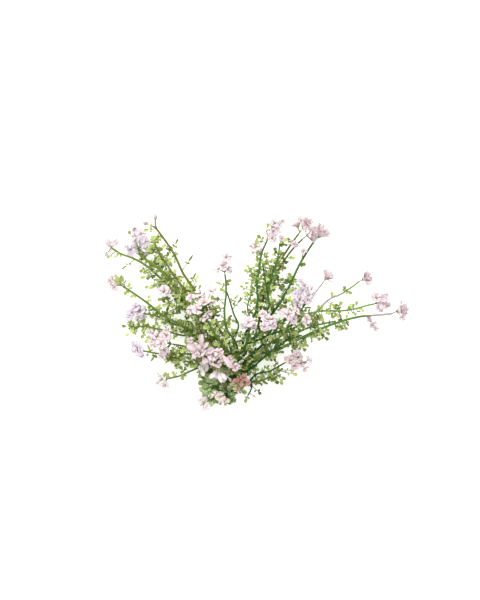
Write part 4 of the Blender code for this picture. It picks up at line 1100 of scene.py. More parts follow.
def add_long_petal(draft, foot, base, tip, width, tone, rng):
    """A long rounded petal from base to tip, its face up, on a claw from its blossom's foot."""
    base, tip = np.array(base), np.array(tip)
    reach = tip - base
    add_stalk(draft, foot, base + reach * 0.15, CLAW_RADIUS, PETAL, tone, 0.3, 6)
    out = unit(reach * (1, 1, 0))
    climb = math.atan2(reach[2], np.linalg.norm(reach[:2])) + 0.2
    length = float(np.linalg.norm(reach))
    add_lobe(draft, base, out, UPWARDS, length, width, climb, 0.3, tone, rng, PETAL_SHEET, 0.12)


def add_floret(draft, root, middle, axis, radius, rng):
    """A small half-open blossom on a stalk of its own, beside a bigger one."""
    foot = middle - axis * radius * 0.7
    add_stalk(draft, root, foot, FLORET_STALK_RADIUS, STALK, rng.random(), 1.0, 5)
    across, other = square_to(axis)
    tone = rng.random()
    add_cup(draft, foot, axis, radius * 1.1, rng.uniform(0, 6.3), rng.random(), rng, 0)
    turn = rng.uniform(0, 2 * math.pi)
    base = foot + axis * radius * 0.4
    for number in range(FLORET_PETALS):
        angle = turn + 2 * math.pi * number / FLORET_PETALS + rng.uniform(-0.3, 0.3)
        out = turned(across, other, angle)
        petal_tone = held(tone + rng.uniform(-0.4, 0.4))
        size = radius * rng.uniform(1.2, 1.6), radius * rng.uniform(1.15, 1.45)
        slopes = rng.uniform(0.4, 1.2), 0.3
        add_lobe(draft, base, out, axis, *size, *slopes, petal_tone, rng, INNER_SHEET)


def add_closed_blossom(draft, root, middle, axis, radius, tone, rng):
    """A closed blossom, petals rolled up in their green cup, on a stalk of its own."""
    foot = middle - axis * radius
    if np.linalg.norm(foot - root) > 0.5:
        add_stalk(draft, root, foot, LEAF_STALK_RADIUS, STALK, rng.random(), 1.0, 5)
    add_cup(draft, foot, axis, radius * 2.4, rng.uniform(0, 6.3), tone, rng, 4)
    add_bud(draft, foot + axis * radius * 0.4, axis, radius * 0.85, tone, 1.0, PETAL)


# Rings of lobes: how many, their sheet, lift of the base, length, breadth, climb, curl, and how far
# they fan out
OPEN_RINGS = [
    (5, PETAL_SHEET, 0.34, 1.17, 1.26, 0.5, 0.4, 0.1),
    (2, INNER_SHEET, 0.42, 0.8, 0.95, 1.0, 0.4, 0.0),
]
FUNNEL_RINGS = [
    (5, PETAL_SHEET, 0.2, 1.8, 1.7, 0.95, 0.2, 1.0),
    (4, INNER_SHEET, 0.3, 1.35, 1.3, 1.2, 0.2, 1.0),
]
FUNNELS = (
    "bloom_crown_right", "bloom_crown_centre", "bloom_crown_left", "bloom_right_tip",
    "bloom_right_high", "bloom_right_top_tip",
)

# Patches where the foliage closes up between the stems: x, y, half width, half height, number of
# sprigs, and the height of the leaves where they close over the crown. In the broad patches the
# leaves are larger.
CROWN_PATCHES = [
    (-22, -36, 9, 10, 14, 46), (-20, -52, 9, 12, 16, 36), (-22, -68, 8, 10, 12, 26),
    (-28, -80, 9, 6, 10, 15), (-12, -44, 8, 9, 10, 34), (-34, -46, 7, 8, 8, 34),
]
PATCHES = [
    (-104, 56, 14, 12, 32), (-88, 56, 10, 10, 14), (-88, 34, 12, 14, 26), (-70, 30, 8, 10, 8),
    (-122, -14, 10, 8, 10), (-118, 2, 9, 6, 6), (-101, 73, 5, 7, 7), (-84, 12, 12, 12, 22),
    (-71, 8, 13, 12, 24), (-47, -6, 9, 9, 12), (12, 53, 11, 8, 10), (-88, -40, 12, 8, 8),
    (-104, -6, 14, 10, 20), (-60, -6, 14, 12, 44), (-52, -22, 12, 10, 14), (-6, 34, 8, 12, 24),
    (14, 34, 12, 14, 30), (12, 12, 12, 12, 30), (34, 14, 10, 14, 24), (54, -6, 14, 10, 20),
    (-6, -28, 14, 12, 24), (22, -28, 14, 10, 6), (54, -26, 12, 8, 7), (-84, -46, 14, 8, 18),
    (-64, -46, 12, 7, 5), (1, 60, 5, 7, 8), (29, 72, 5, 4, 5), (37, 33, 7, 5, 9),
    (-42, 8, 8, 10, 12), (14, -46, 12, 8, 12), (46, -34, 6, 8, 8), (-8, -50, 12, 10, 17),
    (-42, -64, 10, 10, 28), (-26, -64, 12, 10, 24), (-8, -68, 10, 9, 14), (-44, -84, 10, 7, 14),
    (-28, -84, 8, 7, 8),
]
BROAD_PATCHES = [
    (-44, -74, 12, 10, 20), (-40, -58, 9, 8, 10), (-27, -66, 8, 9, 10), (-30, -86, 10, 6, 10),
    (-46, -88, 8, 6, 7), (-52, -66, 6, 6, 6), (-46, -72, 8, 10, 12),
]

PATCH_REACH = 12.0
BROAD_SCALE = 1.45
LEAST_LEVEL = 1.2

# Spots that stay open among the leaves, seen from above: x, y and radius
OPEN_SPOTS = [
    (2, -35, 4), (12, -23, 4), (5, -48.5, 5.5), (31, -33, 7), (-77, -30, 6.5), (-97, -11, 4),
    (-24, -24, 3.5), (16, 51, 3), (27, 42, 3.5), (-3, 14, 4.5), (20, 16, 4), (32, 24, 4.5),
    (4, 40, 2.5), (-68, -61, 5.5), (-62, -59, 5), (-75, -64, 5), (88, 6, 4), (100, -1, 3.5),
    (108, 12, 4), (78, -14, 4), (94, 13, 3), (66, 0, 3.5), (-55, -91, 8.5), (44, -22.5, 4),
    (54, -18.5, 3.5), (66, -14.5, 3), (60, -36, 4), (77, -31.5, 5), (89, -24.5, 4.5),
    (78, -20.5, 3), (38, -10, 3), (24, -16, 3), (-86, 44, 3), (-100, 40, 3), (-64, 26, 3),
    (-78, 0, 3.5), (-38, 22, 3),
]

# Long petals of the star-shaped head and of a few others: base, tip and width
STAR = "bloom_centre_front_left"
LONG_PETALS = {
    STAR: [
        ((-55, -38, 45), (-55, -19.5, 50), 6.2), ((-56, -40, 44), (-69, -30.5, 46), 7.6),
        ((-54, -38, 45), (-49.5, -27.5, 51), 5.2), ((-54, -41, 44), (-41, -36, 49), 7.0),
        ((-56, -42, 43), (-65, -42, 44), 7.6), ((-54, -42, 43), (-49, -51, 43), 7.5),
        ((-55, -38, 47), (-58, -31, 50), 5.0),
    ],
    "bloom_centre_front_right": [((-36.5, -37, 49), (-24, -56, 50), 6.0)],
    "bloom_low_pale": [
        ((-39, -57, 31), (-46, -66, 37), 5.0), ((-37, -58, 31), (-29, -66, 37), 4.6),
        ((-38, -57, 31), (-36, -70, 36), 4.4),
    ],
    "bloom_low_pale_side": [((-53, -53, 24), (-54, -64, 29), 4.6)],
    "bloom_upper_left_far": [
        ((-147, 66, 7), (-153.5, 75, 10), 3.0), ((-146, 66, 7), (-140, 73, 10), 3.6),
        ((-146.5, 66, 7), (-149, 73, 11), 2.8),
    ],
    "bloom_upper_left_near": [
        ((-117, 67, 10), (-113, 76, 14), 4.8), ((-119, 66, 10), (-127, 72, 13), 5.0),
        ((-118, 64, 10), (-108, 69, 14), 4.6), ((-120, 68, 10), (-119, 79, 13), 4.6),
        ((-119, 64, 9), (-126, 58, 12), 4.4),
    ],
    "bloom_right_far": [
        ((124, 11, 12), (133, 15, 15), 5.0), ((123, 11, 12), (129, 4, 14), 5.0),
        ((121, 13, 13), (117, 21, 15), 4.4),
    ],
}

# Ways that some single heads face, and the scale of their petals
HEAD_WAYS = {
    "bloom_bottom_left": ((-0.15, -0.1, 1.0), 1.0), "bloom_right_tip": ((1.0, 0.35, 0.45), 0.85),
}

# Heads that differ from the plain pink of their kind
TINTS = {
    "dusty": (
        "bloom_crown_left", "bloom_crown_centre", "bloom_crown_right", "bloom_right_top_tip",
        "floret_centre", "floret_right", STAR, "bloom_top_right",
    ),
    "warm": ("bloom_right_low", "bloom_centre_front", "bloom_centre_front_right"),
    "pale": ("bloom_low_pale", "bloom_low_pale_side", "bloom_bottom_left", "bloom_left_bottom"),
}

# Leaves that stand close over a head: base, tip and width
HEAD_LEAVES = {
    "bloom_left_high": [
        ((-136, 30, 9), (-142, 38, 14), 3.6), ((-137, 30, 9), (-136, 39, 13), 3.4),
        ((-137, 29, 10), (-144, 34, 15), 3.4),
    ],
    "bloom_top_left": [
        ((-1, 65, 39), (1.5, 77, 42), 3.2), ((0, 65, 39), (2, 57, 40), 3.6),
        ((0, 65, 39), (-4.5, 59, 41), 3.2),
    ],
    "bloom_left_bottom": [((-88, -66, 8), (-94, -62, 13), 3.4)],
    "bloom_bottom_coral": [((-19, -73, 24), (-27, -70, 29), 3.6)],
}

# Closed blossoms on the sprays: x, y, z, radius and tone
BUDS = [
    (-101.3, 96.5, 21, 2.6, 0.45), (-111, 90.5, 19, 2.2, 0.0), (-109.6, -42, 8, 1.4, 0.05),
    (-152, 59, 4, 1.5, 0.9), (-104, -29, 30, 1.3, 0.1), (36, 73, 24, 1.6, 0.6),
    (-123, 86, 8, 1.3, 0.3), (-6, 68, 40, 1.5, 0.8), (90, 27, 12, 1.4, 0.5),
    (-86, 21, 30, 1.3, 0.4), (26, -68, 11, 1.4, 0.3), (-16, 16, 44, 1.0, 0.5),
    (-1.5, -84, 6.5, 1.5, 0.9), (50, -49.5, 15, 1.6, 0.0),
]

# Tones of some twigs, by spray and number: above 1 the skin turns brown, and below 0 it turns a
# fresh light green
STEM_TONES = {
    ("spray_upper_right", 1): 1.7, ("spray_upper_right", 2): 1.9, ("spray_upper_left_arch", 0): 1.5,
    ("spray_upper_left_arch", 1): 1.5, ("spray_right_high", 0): -0.9, ("spray_right_high", 1): -0.9,
    ("spray_right_long", 0): -0.6, ("spray_right_long", 1): -0.6, ("spray_left_front", 0): 1.5,
    ("spray_heart_left", 0): 1.4, ("spray_left_high", 0): 0.6, ("spray_right_low", 0): 1.2,
}

# Twigs that turn rosy: the spray and the twig's number, with the stretch where they are rosiest,
# and a stretch beyond the tip for all the others
BLUSHES = {
    ("spray_right_high", 0): (0.5, 0.9), ("spray_right_long", 0): (0.84, 1.05),
    ("spray_right_top", 1): (0.55, 1.1), ("spray_right_long", 2): (0.0, 1.1),
}
NO_BLUSH = (9.0, 9.1)

# Sprays whose stems are stouter
STOUT_SPRAYS = {
    "spray_upper_left": 1.25, "spray_upper_left_arch": 1.15, "spray_left_high": 1.15,
    "spray_right_long": 1.12,
}

# Sprays whose leaves are a colder green
COLD_SPRAYS = ("spray_bottom", "spray_bottom_right")

# Sprays whose leaves are darker or lighter than the rest
SHADES = {
    "spray_bottom": 0.15, "spray_bottom_right": 0.15, "spray_heart_left": -0.15,
    "spray_right_low": 0.12, "spray_right_long": 0.12, "spray_right_high": 0.1, "spray_top": 0.05,
    "spray_left_mid": 0.1, "spray_upper_left_arch": -0.05,
}

# Places of the narrow leaves among the marked ones, seen from above
LANCES = [
    (-65, 53), (-61.5, 36), (-58, 35), (-131, 46), (-139.5, 37), (-20, 15), (-16, 11),
    (-103, -45.5), (-36.5, 29), (-139, 61), (-107, -37), (-79, 71),
]

# Florets that fill up a head: x, y, z and radius
FLORETS = {
    "bloom_upper_left_near": [
        (-123, 70.5, 9, 3.6), (-119, 74.5, 9, 3.4), (-130, 67.5, 7, 3.2), (-122, 78, 8, 2.8),
        (-113, 62, 11, 3.0),
    ],
    "bloom_left_low": [(-124, -31, 6, 3.4), (-116, -42, 6, 3.0)],
    "bloom_left_bottom": [(-99, -61, 8, 3.2), (-100, -71, 6, 3.4)],
    "bloom_left_high": [(-143, 26, 6, 3.2), (-148, 33, 5, 2.8)],
    "bloom_left_mid": [(-128, -3.5, 8, 3.6), (-118, -4, 9, 3.2), (-113, -3, 9, 2.8)],
    "bloom_left_front": [(-104, -26.5, 30, 4.2), (-102, -33.5, 30, 4.0), (-106, -19.5, 27, 3.4)],
    "bloom_centre_left": [(-48, -0.5, 59, 3.6), (-53, -5, 60, 3.2), (-43, 10, 57, 3.0)],
    "bloom_centre_front_left": [(-66, -27, 40, 3.4), (-48, -38, 46, 3.6)],
    "bloom_centre_front": [(-38, -51, 44, 3.6), (-33, -45, 48, 3.2)],
    "bloom_right_top": [
        (47, 23, 40, 4.4), (52, 13.5, 38, 4.2), (41, 10.5, 40, 3.8), (56, 25, 37, 3.6),
        (45, 32, 36, 3.2), (40, 19, 40, 3.4), (58, 19, 37, 3.0),
    ],
    "bloom_right_low": [(41, -41, 18, 3.6), (50, -56, 13, 3.2), (53, -47, 13, 3.4)],
    "bloom_crown_left": [(54, 91.5, 9, 4.2), (46, 94, 8, 3.6)],
    "bloom_crown_centre": [(59, 84, 18, 3.8), (50, 84, 20, 3.4)],
    "bloom_crown_right": [(69, 83, 8, 3.4), (60, 77, 11, 3.6)],
    "bloom_top": [(23, 88, 32, 3.6), (14, 79, 35, 3.2), (22, 82, 34, 3.2)],
    "bloom_right_high": [(114, 38, 8, 3.2)],
    "bloom_right_hanging": [(115, -7, 9, 3.0), (122, -15.5, 6, 2.8)],
    "bloom_right_tip": [(148, -4, 6, 3.4)],
    "bloom_bottom_coral": [(-13, -65, 24, 3.8), (-9, -70, 22, 3.0), (-19, -76, 21, 3.0)],
    "bloom_bottom_cream": [(-30, -88, 19, 3.0), (-41, -82, 18, 3.2)],
    "bloom_low_pale": [(-33, -66, 24, 3.2)],
    "bloom_heart_centre": [(17, -10, 54, 3.2)],
}

main_curve, heads, grown_leaves = plan_plant()


# Finishes. Scales count the grains in a metre, and depths are in metres.

STREAK_SCALE = 420.0
MOTTLE_SCALE = 650.0
DRIFT_SCALE = 34.0
CLOUD_SCALE = 240.0
BEAD_SCALE = 1500.0
CUT_GRAIN_SCALE = 1400.0
FLOOR_GRAIN_SCALE = 60.0
SKIN_DEPTH = 0.0002
BEAD_DEPTH = 0.0004
CUT_DEPTH = 0.0003
FLOOR_GLOW = 0.55
FLOOR_GREYS = ((0.93, 0.93, 0.93), (0.96, 0.96, 0.96))
THREAD_CREAMS = ((0.6, 0.5, 0.3), (0.85, 0.75, 0.6))
CUT_WOODS = ((0.42, 0.44, 0.2), (0.72, 0.7, 0.45))
CUT_RIND = (0.1, 0.17, 0.04)
BUD_SHADE = (0.3, 0.2, 0.3)
BROWN_SKIN = (0.12, 0.1, 0.015)
FRESH_SKIN = (0.2, 0.36, 0.07)
# Greens of a leaf finish: deep, light, a paler edge that is a painted highlight, and cool.
COLD_GREENS = ((0.12, 0.235, 0.07), (0.47, 0.62, 0.24), (0.78, 0.88, 0.5), (0.12, 0.235, 0.07))
SEPAL_GREENS = ((0.1, 0.17, 0.03), (0.44, 0.55, 0.14), (0.66, 0.72, 0.4), (0.12, 0.2, 0.06))


class Term:
    """A socket on its way through a material's nodes. Sums on it add their own nodes."""

    def __init__(self, finish, socket):
        self.finish = finish
        self.socket = socket

    def work(self, operation, *values, clamp=False):
        sockets = dict(enumerate(values))
        settings = {"operation": operation, "use_clamp": clamp}
        return self.finish.node("ShaderNodeMath", settings, sockets)

    def __add__(self, other):
        return self.work("ADD", self, other)

    def __sub__(self, other):
        return self.work("SUBTRACT", self, other)

    def __mul__(self, other):
        return self.work("MULTIPLY", self, other)

    def __pow__(self, other):
        return self.work("POWER", self, other)

    def __rsub__(self, other):
        return self.work("SUBTRACT", other, self)

    __radd__ = __add__
    __rmul__ = __mul__

    def kept(self):
        """The value, held between 0 and 1."""
        return self.work("ADD", self, 0.0, clamp=True)


class Finish:
    """One material and the nodes that lead to its shader."""

    def __init__(self, name, roughness, **plain):
        self.material = bpy.data.materials.new(name)
        self.material.use_nodes = True
        self.tree = self.material.node_tree
        self.shader = self.tree.nodes["Principled BSDF"]
        self.set("Roughness", roughness)
        for socket, value in plain.items():
            self.set(socket.replace("_", " "), value)

    def set(self, socket, value):
        self.feed(self.shader.inputs[socket], value)

    def feed(self, socket, value):
        if isinstance(value, Term):
            self.tree.links.new(value.socket, socket)
        else:
            socket.default_value = value

    def node(self, kind, settings=None, sockets=None, out=0):
        """Adds a node, with its settings and its sockets' values or links. Returns one output."""
        node = self.tree.nodes.new(kind)
        for name, value in (settings or {}).items():
            setattr(node, name, value)
        for name, value in (sockets or {}).items():
            self.feed(node.inputs[name], value)
        return Term(self, node.outputs[out])

    def mark(self, number):
        """The tone, rim or reach that the mesh carries at each point."""
        marks = self.node("ShaderNodeAttribute", {"attribute_name": "marks"}, out=1)
        return self.node("ShaderNodeSeparateXYZ", sockets={0: marks}, out=number)

    def blend(self, amount, a, b):
        """Colour a where amount is 0 and colour b where it is 1."""
        a, b = (value if isinstance(value, Term) else (*value, 1.0) for value in (a, b))
        return self.node("ShaderNodeMix", {"data_type": "RGBA"}, {0: amount, 6: a, 7: b}, out=2)

    def place(self):
        return self.node("ShaderNodeTexCoord", out=3)

    def noise(self, scale, detail=2.0):
        sockets = {"Vector": self.place(), "Scale": scale, "Detail": detail}
        return self.node("ShaderNodeTexNoise", sockets=sockets, out=0)

    def beads(self, scale):
        """0 in the middle of each bead and up to about 1 between them."""
        sockets = {"Vector": self.place(), "Scale": scale}
        return self.node("ShaderNodeTexVoronoi", sockets=sockets, out=0)

    def bump(self, height, strength, distance):
        sockets = {"Strength": strength, "Distance": distance, "Height": height}
        self.set("Normal", self.node("ShaderNodeBump", sockets=sockets))


def stem_finish(name, base, tip, olive, blush):
    """A matt skin, deep green at the foot and lighter at the tips, with its tone and blush."""
    finish = Finish(name, 0.55, Specular_IOR_Level=0.12)
    tone, rosy, reach = finish.mark(0), finish.mark(1), finish.mark(2)
    streak = finish.noise(STREAK_SCALE, 3.0)
    amount = (reach * 0.8 + streak * 0.5 - 0.25).kept()
    green = finish.blend(amount, base, tip)
    green = finish.blend((tone * (amount * 0.4 + 0.7)).kept(), green, olive)
    green = finish.blend((tone - 1.0).kept(), green, BROWN_SKIN)
    green = finish.blend((streak * 0.3 - tone - 0.15).kept(), green, FRESH_SKIN)
    finish.set("Base Color", finish.blend((rosy * (streak + 0.4)).kept(), green, blush))
    finish.set("Roughness", 0.5 + streak * 0.25)
    finish.bump(streak, 0.25, SKIN_DEPTH)
    return finish.material


def leaf_finish(name, deep, light, edge, cool):
    """A soft leaf: its own tone, a deeper middle, a painted highlight on the rim, some bluish."""
    finish = Finish(name, 0.6, Specular_IOR_Level=0.15)
    tone, rim, reach = finish.mark(0), finish.mark(1), finish.mark(2)
    mottle = finish.noise(MOTTLE_SCALE, 3.0)
    drift = finish.noise(DRIFT_SCALE, 1.0)
    depth = (tone * 0.95 + reach * 0.12 + mottle * 0.5 - 0.28).kept()
    body = finish.blend(depth, deep, light)
    body = finish.blend(((drift - 0.5) * 4.0 * (1.0 - tone)).kept(), body, cool)
    # The paler rim is a painted highlight along each leaf's edge, stronger on the lighter leaves.
    painted_rim_highlight = (rim * depth * 0.9 + mottle * 0.1 - 0.05).kept()
    finish.set("Base Color", finish.blend(painted_rim_highlight, body, edge))
    finish.set("Roughness", 0.5 + mottle * 0.25)
    finish.bump(mottle, 0.3, SKIN_DEPTH)
    return finish.material


def petal_finish(name, deep, pale, edge, other):
    """A flocked petal: small beads all over, shade painted between, deeper throat, tinted rim."""
    finish = Finish(name, 0.85, Sheen_Weight=0.1)
    tone, rim, along = finish.mark(0), finish.mark(1), finish.mark(2)
    beads = finish.beads(BEAD_SCALE)
    cloud = finish.noise(CLOUD_SCALE, 2.0)
    ground = finish.blend((tone * 1.3 - 0.15).kept(), other, pale)
    body = finish.blend((along * 1.5 + cloud * 0.5 - 0.4).kept(), deep, ground)
    body = finish.blend((rim * cloud * 1.3).kept(), body, edge)
    # Deeper colour in the hollows between the beads: painted shade.
    body = finish.blend((beads ** 2.0 * 0.35).kept(), body, deep)
    finish.set("Base Color", body)
    finish.bump(1.0 - beads, 0.6, BEAD_DEPTH)
    return finish.material


def thread_finish():
    """The creamy threads in a throat."""
    finish = Finish("throat_threads", 0.7)
    grain = finish.noise(BEAD_SCALE)
    finish.set("Base Color", finish.blend(grain.kept(), *THREAD_CREAMS))
    return finish.material


def cut_finish():
    """The pale, ringed face where the stem was cut."""
    finish = Finish("cut_face", 0.75)
    rim, grain = finish.mark(1), finish.noise(CUT_GRAIN_SCALE, 4.0)
    wood = finish.blend(grain.kept(), *CUT_WOODS)
    finish.set("Base Color", finish.blend((rim ** 3.0).kept(), wood, CUT_RIND))
    finish.bump(grain, 0.4, CUT_DEPTH)
    return finish.material


def floor_finish():
    """A pale, even surface that gives back a little light of its own."""
    glow = {"Emission_Color": (1.0, 1.0, 1.0, 1.0), "Emission_Strength": FLOOR_GLOW}
    finish = Finish("pale_floor", 0.9, **glow)
    grain = finish.noise(FLOOR_GRAIN_SCALE)
    finish.set("Base Color", finish.blend(grain.kept(), *FLOOR_GREYS))
    return finish.material


# Settings


class StemSettings(bpy.types.PropertyGroup):
    """Roundness and colours of the stems"""

    sides: IntProperty(
        name="Sides", description="Sides of each stem's round skin", default=9, min=5, max=24)
    base: FloatVectorProperty(
        name="Base", description="Colour at the foot", default=(0.01, 0.075, 0.015),
        subtype="COLOR")
    tip: FloatVectorProperty(
        name="Tip", description="Colour at the tips", default=(0.08, 0.2, 0.025), subtype="COLOR")
    olive: FloatVectorProperty(
        name="Olive", description="Colour of the left sprays", default=(0.16, 0.225, 0.028),
        subtype="COLOR")
    blush: FloatVectorProperty(
        name="Blush", description="Colour of the thin stems under some heads",
        default=(0.5, 0.38, 0.42), subtype="COLOR")


class LeafSettings(bpy.types.PropertyGroup):
    """Spacing, size and colours of the small leaves"""

    spacing: FloatProperty(
        name="Spacing", description="Distance between two sets of small leaves along a stem",
        default=0.0052, min=0.001, unit="LENGTH")
    length: FloatProperty(
        name="Length", description="Length of a middling small leaf", default=0.0044, min=0.001,
        unit="LENGTH")
    deep: FloatVectorProperty(
        name="Deep", description="Colour of the darkest leaves", default=(0.1, 0.14, 0.006),
        subtype="COLOR")
    light: FloatVectorProperty(
        name="Light", description="Colour of the lightest leaves", default=(0.48, 0.6, 0.12),
        subtype="COLOR")
    # The edge colour paints a highlight along each leaf's rim.
    edge: FloatVectorProperty(
        name="Edge", description="Colour along a leaf's rim", default=(0.8, 0.88, 0.5),
        subtype="COLOR")
    cool: FloatVectorProperty(
        name="Cool", description="Colour of the bluish leaves", default=(0.085, 0.19, 0.05),
        subtype="COLOR")


class BlossomSettings(bpy.types.PropertyGroup):
    """Colours of the petals"""

    pink: FloatVectorProperty(
        name="Pink", description="Colour in the throat of a pink head", default=(0.79, 0.61, 0.63),
        subtype="COLOR")
    lilac: FloatVectorProperty(
        name="Lilac", description="Colour in the throat of a lilac head",
        default=(0.72, 0.59, 0.69), subtype="COLOR")
    coral: FloatVectorProperty(
        name="Coral", description="Colour of the coral head", default=(0.86, 0.3, 0.28),
        subtype="COLOR")
    cream: FloatVectorProperty(
        name="Cream", description="Colour of the cream head", default=(0.82, 0.78, 0.62),
        subtype="COLOR")
    pale: FloatVectorProperty(
        name="Pale", description="Colour towards the ends of the petals",
        default=(0.88, 0.84, 0.852), subtype="COLOR")


class StageSettings(bpy.types.PropertyGroup):
    """Floor, camera and lights"""

    floor: FloatProperty(
        name="Floor", description="Side of the square floor", default=4.0, min=1.0, unit="LENGTH")
    height: FloatProperty(
        name="Height", description="Height of the camera over the floor", default=3.38, min=0.5,
        unit="LENGTH")
    lens: FloatProperty(
        name="Lens", description="Focal length in millimetres", default=200.0, min=20.0,
        unit="CAMERA")
    sky: FloatProperty(
        name="Sky", description="Strength of the even light from all round", default=0.66, min=0.0)
    key: FloatProperty(
        name="Key", description="Power of the large soft lamp in watts", default=44.0, min=0.0,
        unit="POWER")


# Pieces


def leaf_finishes():
    """The finishes of the sprays: the stems', then the plain, the lime and the cold leaves'."""
    stems, leaves = bpy.context.scene.gypsophila_stems, bpy.context.scene.gypsophila_leaves
    stalk = stem_finish("stem_skin", stems.base, stems.tip, stems.olive, stems.blush)
    plain = leaf_finish("leaf_skin", leaves.deep, leaves.light, leaves.edge, leaves.cool)
    deep = [value * 1.4 + 0.02 for value in leaves.deep]
    light = [value * 1.15 for value in leaves.light]
    lime = leaf_finish("leaf_skin_lime", deep, light, leaves.edge, deep)
    cold = leaf_finish("leaf_skin_cold", *COLD_GREENS)
    return stalk, plain, lime, cold


def place_piece(draft, node, slot, finishes):
    """Makes the piece of a draft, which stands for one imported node."""
    piece = draft.piece("fine_" + node, finishes)
    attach(piece, "root")
    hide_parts(node)


def node_slot(node):
    for part in frame["record"]["subparts"]:
        if part["node"] == node:
            return part["material_slot"]
    raise ValueError("no slot for " + node)


def openness(place):
    """How far out in the fan a place is, from 0 at the crown to 1."""
    return min(float(np.linalg.norm(place - np.array(CROWN))) / FAN_REACH, 1.0)


def stem_tone(place, rng):
    """How olive a stem is: more so towards the sides of the spray."""
    beyond = max(OLIVE_LEFT - place[0], place[0] - OLIVE_RIGHT)
    return held(beyond / OLIVE_REACH + rng.uniform(-0.1, 0.25))


def is_open(place):
    """Whether a place lies in a spot that stays open."""
    return any(math.hypot(place[0] - x, place[1] - y) < radius for x, y, radius in OPEN_SPOTS)


def add_twig(draft, key, twig, path, sides, rng):
    """A twig's round skin, a little swollen at its foot. key is its spray and its number."""
    count = max(6, round(path.length / TWIG_RING))
    fractions = np.linspace(0.0, 1.0, count + 1)
    line = [path.at(fraction)[0] for fraction in fractions]
    reach = np.array([openness(point) for point in line]).repeat(sides)
    tone = STEM_TONES.get(key, stem_tone(line[count // 2], rng))
    if twig.host is None:
        line[0] = line[0] - path.at(0.0)[1] * (SEAT_GAP + 0.5)
    radii = twig.base + (twig.tip - twig.base) * fractions
    swell = 1 + TWIG_SWELL * np.exp(-((fractions * path.length / TWIG_SWELL_REACH) ** 2))
    radii = radii * STEM_SCALE * STOUT_SPRAYS.get(key[0], 1.0) * swell
    first, last = BLUSHES.get(key, NO_BLUSH)
    rosy = np.clip(1.5 - np.abs(fractions - (first + last) / 2) * 3.0 / (last - first), 0, 1)
    rosy = np.concatenate((rosy.repeat(sides), rosy[[0, -1]]))
    reach = np.concatenate((reach, reach[[0, -1]]))
    draft.add(round_tube(line, radii, sides), STALK, tone, rosy, reach)


def fill_twig(draft, twig, path, rng, spacing, length):
    """Small leaves in pairs and threes between those of the solid, most of them to the sides."""
    if not twig.pairs:
        return
    start, end = max(twig.span[0] - 0.12, 0.04), twig.span[1]
    middle, _ = path.at((start + end) / 2)
    count = max(2, int(path.length * (end - start) / (spacing * (0.65 + 0.5 * openness(middle)))))
    for k in range(count):
        fraction = start + (end - start) * (k + rng.uniform(0.2, 0.8)) / count
        root, along = path.at(fraction)
        across, other = square_to(along)
        number = rng.choice((2, 2, 3))
        for each in range(number):
            if each < 2:
                angle = math.pi * each + rng.uniform(-0.75, 0.75)
            else:
                angle = rng.uniform(0, 2 * math.pi)
            side = turned(across, other, angle)
            side[2] = min(side[2], 0.25 * side[2])
            direction = turned(along, side, math.radians(rng.uniform(*SPRIG_OPENING)))
            normal = np.array((rng.uniform(-1.3, 1.3), rng.uniform(-1.3, 1.3), 1.0)) + along * 0.3
            size = length * rng.uniform(0.75, 1.3)
            stalk = rng.uniform(0.9, 3.6)
            if is_open(root + direction * (stalk + size * 0.6)):
                continue
            width = size * rng.uniform(*SPRIG_BREADTH)
            sides, lance = rng.choice((0, 1, 1, 2)), rng.random() < 0.15
            reach = openness(root)
            add_sprig(draft, root, direction, normal, stalk, size, width, reach, rng, sides, lance)


def nearest_foot(feet, place):
    """The foot of the flower that is nearest to a place."""
    return min(feet, key=lambda foot: float(np.linalg.norm(foot - np.array(place))))


def share_patches(paths):
    """Gives each sprig of the close patches to the nearest spray: its root, place and scale."""
    rng = random.Random(PATCH_SEED)
    spots = np.concatenate([path.points for group in paths.values() for path in group])
    names = [name for name, group in paths.items() for path in group for _ in path.points]
    shared = {name: [] for name in paths}
    patches = [(*patch, None, 1.0) for patch in PATCHES]
    patches += [(*patch, None, BROAD_SCALE) for patch in BROAD_PATCHES]
    patches += [(*patch, 1.0) for patch in CROWN_PATCHES]
    for x, y, wide, high, count, height, scale in patches:
        for _ in range(count):
            angle, far = rng.uniform(0, 2 * math.pi), math.sqrt(rng.random())
            place = np.array((x + wide * far * math.cos(angle), y + high * far * math.sin(angle)))
            away = np.linalg.norm(spots[:, :2] - place, axis=1)
            if height is not None:
                away = away + np.abs(spots[:, 2] + 4 - height) * 0.7
            k = int(np.argmin(away))
            if away[k] > PATCH_REACH or is_open(place):
                continue
            if height is None:
                level = spots[k][2] + rng.uniform(*PATCH_DROP)
            else:
                level = height + rng.uniform(-3, 3)
            shared[names[k]].append((spots[k], np.array((*place, max(level, LEAST_LEVEL))), scale))
    return shared


def share_buds(paths):
    """Gives each closed blossom to the spray whose stem is nearest, with its root on that stem."""
    shared = {name: [] for name in paths}
    for x, y, z, radius, tone in BUDS:
        middle = np.array((x, y, z))
        pairs = [(name, path) for name, group in paths.items() for path in group]
        name, path = min(pairs, key=lambda pair: pair[1].distance(middle))
        root, _ = path.at(path.nearest(middle))
        shared[name].append((root, middle, radius, tone))
    return shared


def fill_patch(draft, sprigs, rng, length):
    """The sprigs that close up a spray's patches, each on a stalk from its stem."""
    for root, end, scale in sprigs:
        reach = end - root
        far = float(np.linalg.norm(reach))
        sway = np.array((rng.uniform(-0.4, 0.4), rng.uniform(-0.4, 0.4), 0.2))
        direction = unit(reach + sway * max(far, 1.0))
        size = length * scale * rng.uniform(0.85, 1.4)
        normal = np.array((rng.uniform(-1.2, 1.2), rng.uniform(-1.2, 1.2), 1.0))
        stalk, width = max(far - size * 0.4, 0.8), size * rng.uniform(*SPRIG_BREADTH)
        sides = rng.choice((2, 3, 4))
        add_sprig(draft, root, direction, normal, stalk, size, width, openness(end), rng, sides)


